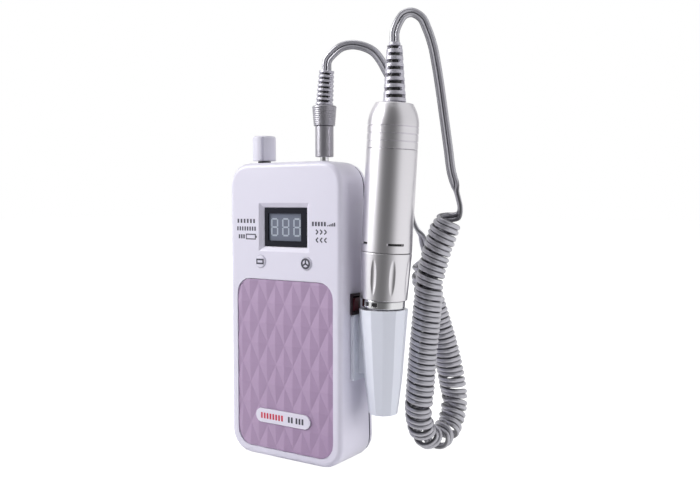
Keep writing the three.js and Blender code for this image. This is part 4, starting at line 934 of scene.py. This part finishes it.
def display_frame():
    low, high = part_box("display_lens")
    place = ((low.x + high.x) / 2, low.y, (low.z + high.z) / 2)
    bm = upright_sheet(high.x - low.x, high.z - low.z, place)
    screen, = bm.faces
    sides = bmesh.ops.extrude_edge_only(bm, edges=bm.edges[:])["geom"]
    pushed_back(sides, high.y - low.y)
    bmesh.ops.holes_fill(
        bm, edges=[edge for edge in sides if isinstance(edge, bmesh.types.BMEdge)], sides=4)
    bmesh.ops.inset_region(bm, faces=[screen], thickness=2 * MM, use_even_offset=True)
    middle = screen.calc_center_median()
    for spot in screen.verts:
        spot.co.x = (screen_right if spot.co.x > middle.x else screen_left) * MM
        spot.co.z = (screen_high if spot.co.z > middle.z else screen_low) * MM
    made = bmesh.ops.extrude_face_region(bm, geom=[screen])["geom"]
    bmesh.ops.delete(bm, geom=[screen], context="FACES_ONLY")
    pushed_back(made, screen_sink * MM)
    next(item for item in made if isinstance(item, bmesh.types.BMFace)).material_index = 1
    bmesh.ops.recalc_face_normals(bm, faces=bm.faces)
    return bm, low.y / MM + screen_sink


frame_mesh, screen_y = display_frame()
finished(
    "display", frame_mesh, bezel_plastic, "box", ["display_lens"], weighted=False,
    inlay=screen_film)

# %% [markdown]
# ## Print
# Everything printed on the object is a thin raised layer of its own: the display's digits, the
# marks beside it, the signs on the two buttons and the rows on the label. The marks are plain
# bars and arrows.


# %% Thin printed shapes
print_thickness, print_overlap = 0.06, 0.01


def printed_bar(bm, x, z, width, height, front, thick=print_thickness, lean=0.0):
    """A thin block on a face that looks along -Y; `front` is that face's place."""
    turn = Matrix.Rotation(math.radians(lean), 4, "Y")
    size = Matrix.Diagonal((width * MM, thick * MM, height * MM, 1))
    place = Matrix.Translation(Vector((x, front - thick / 2 + print_overlap, z)) * MM)
    bmesh.ops.create_cube(bm, size=1, matrix=place @ turn @ size)


def printed_row(bm, left, z, count, width, pitch, height, front):
    for i in range(count):
        printed_bar(bm, left + width / 2 + i * pitch, z, width, height, front)


def printed(name, bm, made, body="box"):
    """A printed layer, flatly shaded."""
    return finished(name, bm, made, body, weighted=False)


# %% Digits
digit_left, digit_pitch, digit_width, digit_height = -9.9, 7.35, 4.7, 9.6
stroke = 0.85


def digits():
    """Three eights in seven strokes each, all lit, as a display shows when it is tested."""
    bm = bmesh.new()
    middle_z = (screen_low + screen_high) / 2
    for i in range(3):
        x = digit_left + digit_width / 2 + i * digit_pitch
        reach = digit_height / 2 - stroke / 2
        for level in (-1, 0, 1):
            printed_bar(
                bm, x, middle_z + level * reach, digit_width - 1.9 * stroke, stroke, screen_y)
        for side in (-1, 1):
            for level in (-1, 1):
                printed_bar(
                    bm, x + side * (digit_width - stroke) / 2, middle_z + level * reach / 2,
                    stroke, reach - 0.75 * stroke, screen_y)
    return bm


printed("display_digits", digits(), digit_film)

# %% Marks beside the display
shell_front_y = -16.3
mark_height = 2.2
battery_left, battery_right, battery_z = -25.2, -18.3, 118.6
battery_line = 0.6
wedge_left, wedge_foot, wedge_pitch = 28.4, 124.9, 1.05
arrow_left, arrow_pitch, arrow_lean = 21.8, 2.6, 42


def left_marks():
    """Two rows of bars, and a short row that ends in a battery's outline."""
    bm = bmesh.new()
    for left, z, count, width, pitch in (
            (-31.0, 127.0, 6, 1.15, 2.2), (-31.3, 122.9, 8, 0.95, 1.72),
            (-30.2, battery_z, 3, 1.0, 1.6)):
        printed_row(bm, left, z, count, width, pitch, mark_height, shell_front_y)
    middle, width = (battery_left + battery_right) / 2, battery_right - battery_left
    end = (width - battery_line) / 2
    for x, z, wide, high in (
            (middle, -1.25, width, battery_line), (middle, 1.25, width, battery_line),
            (middle - end, 0, battery_line, 1.9), (middle + end, 0, battery_line, 1.9),
            (battery_right + 0.35, 0, battery_line, 1.1)):
        printed_bar(bm, x, battery_z + z, wide, high, shell_front_y)
    return bm


def right_marks():
    """A row of bars with a rising wedge, and arrows for the two directions of turning."""
    bm = bmesh.new()
    printed_row(bm, 18.7, 126.0, 5, 1.15, 1.85, mark_height, shell_front_y)
    for i in range(5):
        height = 0.5 + 0.35 * i
        printed_bar(
            bm, wedge_left + i * wedge_pitch, wedge_foot + height / 2, 0.75, height,
            shell_front_y)
    for way, z in ((1, 121.9), (-1, 117.8)):
        for i in range(3):
            for side in (-1, 1):
                printed_bar(
                    bm, arrow_left + i * arrow_pitch, z + side * 0.6, 1.75, 0.72,
                    shell_front_y, lean=side * way * arrow_lean)
    return bm


printed("marks_left", left_marks(), dark_print)
printed("marks_right", right_marks(), dark_print)


# %% Rows on the label
def label_marks(left, groups, width=1.15, pitch=1.95, height=3.1, space=1.1):
    bm = bmesh.new()
    for count in groups:
        printed_row(bm, left, label_centre[1], count, width, pitch, height, label_front)
        left += count * pitch + space
    return bm


printed("label_red_row", label_marks(-15.0, [8]), red_print)
printed("label_dark_row", label_marks(3.2, [2, 3]), dark_print)

# %% [markdown]
# ## Push buttons
# A round cap stands slightly proud of the shell, and behind the wall it has a flange that keeps
# it in and a stem that reaches the switch. All three come from one spun profile, turned to face
# forward.

# %% Buttons
def button(node, name, body):
    low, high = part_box(node)
    centre = (low + high) / 2
    depth = (high.y - low.y) / MM
    profile = [
        (0, 0), (2.2, 0.02), (3.0, 0.12), (3.35, 0.5), (3.35, 3.0), (4.5, 3.0), (4.5, 3.8),
        (1.5, 3.8), (1.5, depth), (0, depth),
    ]
    bm = turned([(r, -z) for r, z in profile], 48)
    placed(bm, Matrix.Translation((centre.x, low.y, centre.z)) @ face_forward)
    bmesh.ops.recalc_face_normals(bm, faces=bm.faces)
    finished(name, bm, shell_plastic, body, [node])
    return centre.x / MM, centre.z / MM, low.y / MM


left_button = button("left_button", "button_left", "left_button")
right_button = button("right_button", "button_right", "right_button")
print("button faces at y", round(left_button[2], 2), round(right_button[2], 2), "mm")


# %% Signs on the buttons
def ring_print(outer, inner, centre, front, steps=40):
    """A flat printed ring on a face that looks along -Y."""
    thick = print_thickness
    bm = turned([(inner, 0), (outer, 0), (outer, thick), (inner, thick), (inner, 0)], steps)
    place = Matrix.Translation(Vector((centre[0], front + print_overlap, centre[1])) * MM)
    return placed(bm, place @ face_forward)


def left_sign():
    """An oblong outline on the left button."""
    x, z, front = left_button
    bm = bmesh.new()
    for side in (-1, 1):
        printed_bar(bm, x, z + side * 1.05, 4.9, 0.8, front, 0.1)
        printed_bar(bm, x + side * 2.1, z, 0.7, 2.0, front, 0.1)
    return bm


def right_sign():
    """A ring with three spokes on the right button, like a small fan."""
    x, z, front = right_button
    bm = ring_print(2.85, 1.85, (x, z), front - 0.04)
    for i in range(3):
        turn = math.radians(90 + 120 * i)
        printed_bar(
            bm, x + math.cos(turn) * 0.95, z + math.sin(turn) * 0.95, 1.95, 0.8, front, 0.1,
            lean=-math.degrees(turn))
    return bm


printed("sign_left", left_sign(), dark_print, "left_button")
printed("sign_right", right_sign(), dark_print, "right_button")

# %% [markdown]
# ## Speed knob
# The knob is a plain cylinder with a chamfered top and one groove down its side as a pointer.

# %% Knob
pointer_turn, pointer_half, pointer_depth = -60, 5, 0.6
knob_radius, knob_chamfer, bore_radius, bore_depth = 6.3, 0.8, 3.0, 9.5


def speed_knob():
    low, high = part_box("speed_knob")
    height = (high.z - low.z) / MM
    bm = turned([
        (bore_radius, 0), (knob_radius, 0), (knob_radius, height - knob_chamfer),
        (knob_radius - knob_chamfer, height), (0, height), (0, bore_depth),
        (bore_radius, bore_depth), (bore_radius, 0),
    ], 360 // pointer_half, pointer_turn - pointer_half)
    sides = wall_faces(bm, 0, height - knob_chamfer / 2, pointer_turn, pointer_half)
    sunk(bm, sides, pointer_depth)
    rounded(bm, 0.18)
    centre = (low + high) / 2
    placed(bm, Matrix.Translation((centre.x, centre.y, low.z)))
    finished("knob", bm, knob_plastic, "knob", ["speed_knob"])


speed_knob()

# %% [markdown]
# ## Plug
# The plug's body is smooth, its collar has fine grip rings, and a slotted strain relief leans a
# little towards the handpiece above it.

# %% Plug body and collar
plug_steps = 64


def upright_at(x, y, z=0.0):
    return Matrix.Translation(Vector((x, y, z)) * MM)


def plug_body():
    low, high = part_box("plug_body")
    foot, top = low.z / MM, high.z / MM
    radius, bore, bore_top = 4.75, 2.4, foot + 6.1
    bm = turned([
        (bore, foot), (radius, foot), (radius, top), (0, top), (0, bore_top), (bore, bore_top),
        (bore, foot),
    ], plug_steps)
    rounded(bm, 0.3)
    placed(bm, upright_at(*plug_axis))
    finished("plug_sleeve", bm, plug_plastic, "plug", ["plug_body"])


def plug_collar():
    low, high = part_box("plug_collar")
    foot, top = low.z / MM, high.z / MM
    foot_radius, top_radius = 5.55, 6.35
    rings, ring_half, ring_depth = 9, 0.22, 0.16
    profile = [(0, foot), (foot_radius - 0.3, foot), (foot_radius, foot + 0.3)]
    lowest, highest = foot + 0.9, top - 1.7
    for i in range(rings):
        z = lowest + (highest - lowest) * i / (rings - 1)
        radius = foot_radius + (top_radius - foot_radius) * (z - foot) / (top - foot)
        profile += [(radius, z - ring_half), (radius - ring_depth, z), (radius, z + ring_half)]
    profile += [
        (top_radius, top - 0.9), (top_radius - 0.12, top - 0.45), (top_radius - 0.4, top - 0.12),
        (top_radius - 0.8, top), (0, top),
    ]
    bm = placed(turned(profile, plug_steps), upright_at(*plug_axis))
    finished("plug_grip", bm, plug_plastic, "plug", ["plug_collar"], sharp=50)


plug_body()
plug_collar()


# %% Slotted strain reliefs
slot_depth, slot_half = 1.7, 74
relief_steps, relief_start = 72, 2.5


def slotted_relief(foot_width, tip_width, end_width, length, ribs, slots, neck=0.0):
    """A tapering sleeve with deep slots between its ribs; `slots` are their directions."""
    pitch = length / (ribs + 0.5)

    def radius_at(z):
        return (foot_width + (tip_width - foot_width) * z / length) / 2

    profile = [(0, -neck), (3.0, -neck), (3.0, 0)] if neck else [(0, 0)]
    for i in range(ribs):
        profile.append((radius_at(i * pitch), i * pitch))
        profile.append((radius_at((i + 0.5) * pitch), (i + 0.5) * pitch))
    profile += [
        (radius_at(ribs * pitch), ribs * pitch), (end_width / 2, (ribs + 0.12) * pitch),
        (end_width / 2, length), (0, length),
    ]
    bm = turned(profile, relief_steps, relief_start)
    for i in range(ribs):
        low, high = (i + 0.5) * pitch, (i + 1) * pitch
        for centre in slots[i % len(slots)]:
            # Each slot's floor takes the black inlay: painted shade, for the dark inside of a deep
            # slot.
            for face in sunk(bm, wall_faces(bm, low, high, centre, slot_half), slot_depth):
                face.material_index = 1
    return rounded(bm, 0.14, sharp=40)


def relief(name, bm, node, body):
    # The black inlay on the slot floors is painted shade.
    finished(name, bm, boot_vinyl, body, [node], sharp=45, inlay=black_plastic_and_painted_shade)


def relief_on_plug():
    lean = Matrix.Rotation(plug_boot_lean, 4, "Y")
    bm = slotted_relief(9.2, 7.8, 7.8, plug_boot_length / MM, 7, [(-92, 88)])
    placed(bm, Matrix.Translation(plug_boot_foot) @ lean)
    relief("plug_relief", bm, "plug_boot", "plug")


def relief_on_handpiece():
    neck = 3
    bm = slotted_relief(11.6, 7.6, 5.8, 29.2, 8, [(-32, 148), (-92, 88)], neck)
    placed(bm, upright_at(hand_tip.x / MM, hand_tip.y / MM, boot_low.z / MM + neck))
    relief("handpiece_relief", bm, "handpiece_boot", "handpiece")


relief_on_plug()
relief_on_handpiece()

# %% [markdown]
# ## The plug and its run
# The plug is on the lead, not on the box: it stands in the box's jack and comes out with its
# run.

# %% [markdown]
# ## Power switch and holder
# A black frame carries a dark red rocker, tipped to one side. Below it, a plate on the box's
# side carries a twelve-sided cup for the handpiece.

# %% Power switch, charging socket and holder
softened("power_switch_frame", "switch_frame", switch_plastic, "box", 0.2)
softened("power_rocker", "rocker_cap", rocker_plastic, "rocker", 0.25, sharp=20)
softened("charge_socket", "charging_socket", black_plastic_and_painted_shade, "box")
softened("handpiece_holder", "cup_holder", cup_plastic, "box", 0.3, sharp=20)

# %% [markdown]
# ## Handpiece
# From its foot up, the handpiece has a plated lock ring with four windows, a twist sleeve with
# eight bowed flutes, a long barrel with four marks milled into it, and a tail cap with three
# grooves. They share one axis, which leans away from the box. Each is spun upright, worked on,
# and then set on that axis.

# %% The handpiece's axis
ring_radius, cup_gap = 10.9, 0.3
cup_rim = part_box("handpiece_holder")[1].z
handpiece_foot = Vector((
    51 * MM, 0.9 * MM, cup_rim + (cup_gap + ring_radius * math.sin(handpiece_lean)) * MM))
handpiece_place = Matrix.Translation(handpiece_foot) @ Matrix.Rotation(handpiece_lean, 4, "Y")
print("handpiece foot:", [round(value / MM, 2) for value in handpiece_foot], "mm")


# %% Lock ring
def lock_ring():
    """A plated ring with windows in pairs on both sides."""
    length, bore = 3.9, 9.1
    window_height, window_half, window_depth = 1.9, 8.5, 0.8
    low, high = (length - window_height) / 2, (length + window_height) / 2
    bm = turned([
        (bore, 0), (ring_radius, 0), (ring_radius, low), (ring_radius, high),
        (ring_radius, length), (bore, length), (bore, 0),
    ], 180, 1)
    for centre in (-111, -85, 69, 95):
        # Each window's floor takes the black inlay: painted shade for its dark inside.
        for face in sunk(bm, wall_faces(bm, low, high, centre, window_half), window_depth):
            face.material_index = 1
    placed(rounded(bm, 0.16, sharp=40), handpiece_place)
    finished(
        "ring", bm, plated_metal, "handpiece", ["lock_ring"], inlay=black_plastic_and_painted_shade)


lock_ring()


# %% Twist sleeve
sleeve_foot, sleeve_top = 4.2, 28.0
sleeve_foot_radius, sleeve_top_radius = 11.9, 13.0
sleeve_bore, sleeve_rows, sleeve_steps, sleeve_rim = 10.3, 60, 320, 0.1
flute_start, flute_pitch = -88, 45
flute_half_length, flute_cutter, flute_depth = 9.0, 2.9, 0.5


def skin_radius(share):
    return sleeve_foot_radius + (sleeve_top_radius - sleeve_foot_radius) * share


def fluted_radius(angle, z):
    """Radius of the sleeve's skin, less where a bowed cutter has passed."""
    skin = skin_radius((z - sleeve_foot) / (sleeve_top - sleeve_foot))
    along = (z - (sleeve_foot + sleeve_top) / 2) / flute_half_length
    cutter = flute_cutter - flute_depth * along * along
    reach = skin + flute_cutter - flute_depth
    aside = reach * math.sin(angle)
    if abs(aside) >= cutter:
        return skin
    return min(skin, reach * math.cos(angle) - math.sqrt(cutter * cutter - aside * aside))


def twist_sleeve():
    profile = [(sleeve_bore, sleeve_foot)]
    for i in range(sleeve_rows + 1):
        share = i / sleeve_rows
        profile.append((skin_radius(share), sleeve_foot + (sleeve_top - sleeve_foot) * share))
    profile += [(sleeve_bore, sleeve_top), (sleeve_bore, sleeve_foot)]
    bm = turned(profile, sleeve_steps, flute_start)
    for spot in bm.verts:
        z = spot.co.z / MM
        on_skin = math.hypot(spot.co.x, spot.co.y) / MM >= sleeve_bore + 1
        if on_skin and sleeve_foot + sleeve_rim < z < sleeve_top - sleeve_rim:
            offset = (angle_of(spot.co) - flute_start + flute_pitch / 2) % flute_pitch
            set_radius(spot, fluted_radius(math.radians(offset - flute_pitch / 2), z))
    bevelled(bm, hard_edges(bm, 60), 0.25)
    placed(bm, handpiece_place)
    finished("sleeve", bm, satin_metal, "sleeve", ["twist_sleeve"], sharp=50)


twist_sleeve()


# %% Barrel
barrel_foot, barrel_top, barrel_radius, barrel_bore = 28.3, 79.5, 12.9, 11.2
barrel_steps = 96
mark_rise, mark_half_height, mark_depth = 4.3, 0.6, 1.1
mark_column = 360 / barrel_steps
mark_half = 4.5 * mark_column
mark_turns = (-40, 50, 140, 230)


def barrel():
    """A tube with four marks: each is a slot whose two ends run out to the surface."""
    middle = barrel_foot + mark_rise
    low, high = middle - mark_half_height, middle + mark_half_height
    profile = [
        (barrel_bore, barrel_foot), (barrel_radius, barrel_foot), (barrel_radius, low),
        (barrel_radius, high), (barrel_radius, barrel_top), (barrel_bore, barrel_top),
        (barrel_bore, barrel_foot),
    ]
    bm = turned(profile, barrel_steps, mark_turns[0] - mark_half)
    for centre in mark_turns:
        faces = wall_faces(bm, low, high, centre, mark_half + 0.7 * mark_column)
        ends = []
        for face in sunk(bm, faces, mark_depth):
            if turn_between(angle_of(face.calc_center_median()), centre) > mark_half:
                ends.append(face)
            else:
                # The mark's floor takes the black inlay: painted shade for the dark inside of the
                # slot; the run-out ends stay metal.
                face.material_index = 1
        for spot in {spot for face in ends for spot in face.verts}:
            if turn_between(angle_of(spot.co), centre) > mark_half + 0.5 * mark_column:
                set_radius(spot, barrel_radius - 0.03)
    bmesh.ops.recalc_face_normals(bm, faces=bm.faces)
    rims = [edge for edge in hard_edges(bm, 60) if any(
        all(abs(spot.co.z / MM - end) < 0.01 for spot in edge.verts)
        for end in (barrel_foot, barrel_top))]
    bevelled(bm, rims, 0.2)
    placed(bm, handpiece_place)
    finished(
        "tube", bm, satin_metal, "handpiece", ["barrel"], inlay=black_plastic_and_painted_shade)


barrel()


# %% Tail cap
tail_foot, tail_top, tail_top_radius = 79.8, 102.4, 9.9
tail_shoulder, rim_drop, tail_bore = 91.2, 0.9, 3.4
tail_sweep, tail_steps = math.radians(28), 12
rim_start, rim_steps = math.radians(25), 3
groove_pitch = 3.7
groove = ((-0.34, 0), (-0.2, 0.22), (0, 0.35), (0.2, 0.22), (0.34, 0))


def tail_cap():
    profile = [
        (tail_bore, tail_top - 2.4), (9.4, tail_top - 7.55), (9.4, tail_foot - 4.6),
        (10.9, tail_foot - 4.6), (10.9, tail_foot - 0.15), (barrel_radius - 0.3, tail_foot - 0.15),
        (barrel_radius, tail_foot + 0.15),
    ]
    for i in (1, 2, 3):
        z = tail_foot + groove_pitch * i
        profile += [(barrel_radius - depth, z + offset) for offset, depth in groove]
    for i in range(tail_steps + 1):
        angle = tail_sweep * i / tail_steps
        inward = (1 - math.cos(angle)) / (1 - math.cos(tail_sweep))
        rise = math.sin(angle) / math.sin(tail_sweep)
        profile.append((
            barrel_radius - (barrel_radius - tail_top_radius) * inward,
            tail_shoulder + (tail_top - rim_drop - tail_shoulder) * rise))
    for i in range(1, rim_steps + 1):
        angle = rim_start + (math.pi / 2 - rim_start) * i / rim_steps
        profile.append((
            tail_top_radius - rim_drop * (1 - math.cos(angle)),
            tail_top - rim_drop * (1 - math.sin(angle))))
    profile += [(tail_bore, tail_top), (tail_bore, tail_top - 2.4)]
    bm = placed(turned(profile, barrel_steps), handpiece_place)
    finished("tail", bm, satin_metal, "handpiece", ["tail_cap"], sharp=40)


tail_cap()
softened("front_housing", "nose_cone", satin_metal, "handpiece")

# %% [markdown]
# ## Light and floor
# One large soft lamp stands at the front left, a weaker one at the right, and a small one hangs
# above. The handpiece keeps the right one off the upper part of the box's side, and a lamp at the
# back lights what the photograph doesn't show. The right lamp and the back one aren't mirrored.
# Metal shows what stands round it, so the studio has a white surround with one dark side: round
# metal then has a dark band down its middle between two light ones. The floor and the backdrop
# are white to the camera, and the floor keeps a faint shadow.


# %% Soft lamps
lamp_aim = Vector((0.02, 0, 0.11))


def soft_lamp(name, place, size, power, glossy):
    light = bpy.data.lights.new(name, "AREA")
    light.shape = "RECTANGLE"
    light.size, light.size_y = size
    light.energy = power
    lamp = in_scene(name, light)
    lamp.location = place
    lamp.rotation_euler = (lamp_aim - Vector(place)).to_track_quat("-Z", "Y").to_euler()
    lamp.visible_camera = False
    lamp.visible_glossy = glossy


soft_lamp("left lamp", (-1.13, -0.97, 0.9), (0.9, 1.1), 24.5, True)
soft_lamp("right lamp", (1.3, 0.4, 0.2), (1.6, 1.3), 17, False)
soft_lamp("top lamp", (-0.1, 0, 1.3), (0.7, 0.7), 2.5, True)
soft_lamp("back lamp", (-0.1, 1.45, 0.6), (1.2, 1.0), 7, False)
print("lamps:", len(bpy.data.lights))

# %% Group: the studio's dark side
dark_turn, dark_reach, dark_core = math.radians(-72), math.radians(62), math.radians(10)
room_brightness, dark_brightness = 0.92, 0.16


def dark_side_group():
    """Full brightness all round, save for a soft dark sector on one side."""
    group, given, made = new_group(
        "dark side", [("Direction", "Vector")], [("Brightness", "Float")])
    level = add_node(group, "ShaderNodeVectorMath", {1: (1, 1, 0)}, operation="MULTIPLY")
    unit = add_node(group, "ShaderNodeVectorMath", operation="NORMALIZE")
    toward = add_node(group, "ShaderNodeVectorMath", {
        1: (math.cos(dark_turn), math.sin(dark_turn), 0)}, operation="DOT_PRODUCT")
    fade = smooth_range(
        group, math.cos(dark_reach), math.cos(dark_core), room_brightness, dark_brightness)
    join(
        group, (given, "Direction", level, 0), (level, 0, unit, 0), (unit, 0, toward, 0),
        (toward, "Value", fade, "Value"), (fade, "Result", made, "Brightness"))
    return group


dark_side = dark_side_group()


# %% What each kind of ray meets
def mirrored_room(tree, kind, coordinate):
    """A white shader of one kind that is dim towards the studio's dark side."""
    shader = add_node(tree, kind)
    place = add_node(tree, "ShaderNodeTexCoord")
    side = add_node(tree, "ShaderNodeGroup", node_tree=dark_side)
    join(tree, (place, coordinate, side, "Direction"), (side, "Brightness", shader, "Strength"))
    return shader


def by_ray(tree, output, soft, mirrored, seen):
    """One shader for soft light, one for reflections and one for the camera."""
    path = add_node(tree, "ShaderNodeLightPath")
    shine = add_node(tree, "ShaderNodeMath", operation="MAXIMUM")
    first = add_node(tree, "ShaderNodeMixShader")
    second = add_node(tree, "ShaderNodeMixShader")
    join(
        tree, (path, "Is Glossy Ray", shine, 0), (path, "Is Transmission Ray", shine, 1),
        (shine, 0, first, 0), (soft, 0, first, 1), (mirrored, 0, first, 2),
        (path, "Is Camera Ray", second, 0), (first, 0, second, 1), (seen, 0, second, 2),
        (second, 0, output, "Surface"))


# %% World
def make_world():
    """White to the camera, dim for soft light, and with a dark side for reflections."""
    world = bpy.data.worlds.new("studio")
    bpy.context.scene.world = world
    world.use_nodes = True
    tree = world.node_tree
    tree.nodes.clear()
    output = add_node(tree, "ShaderNodeOutputWorld")
    room = add_node(tree, "ShaderNodeBackground", {"Color": (0.93, 0.93, 1, 1), "Strength": 0.2})
    seen = add_node(tree, "ShaderNodeBackground", {"Color": (1, 1, 1, 1)})
    by_ray(tree, output, room, mirrored_room(tree, "ShaderNodeBackground", "Generated"), seen)


make_world()


# %% Floor
def make_floor():
    """A wide white sheet that is nearly white by itself, so that only a faint shadow shows."""
    bm = bmesh.new()
    bmesh.ops.create_grid(bm, x_segments=1, y_segments=1, size=6)
    floor = mesh_object("floor", bm)
    made = bpy.data.materials.new("white floor")
    made.use_nodes = True
    tree = made.node_tree
    tree.nodes.clear()
    output = add_node(tree, "ShaderNodeOutputMaterial")
    paper = add_node(tree, "ShaderNodeBsdfDiffuse", {"Color": (0.8, 0.8, 0.82, 1)})
    shaded = add_node(tree, "ShaderNodeBsdfDiffuse", {"Color": (0.32, 0.32, 0.32, 1)})
    glow = add_node(tree, "ShaderNodeEmission", {"Color": (0.95, 0.95, 0.95, 1)})
    seen = add_node(tree, "ShaderNodeAddShader")
    join(tree, (shaded, 0, seen, 0), (glow, 0, seen, 1))
    by_ray(tree, output, paper, mirrored_room(tree, "ShaderNodeEmission", "Object"), seen)
    floor.data.materials.append(made)


make_floor()
bpy.context.scene.view_settings.view_transform = "Standard"
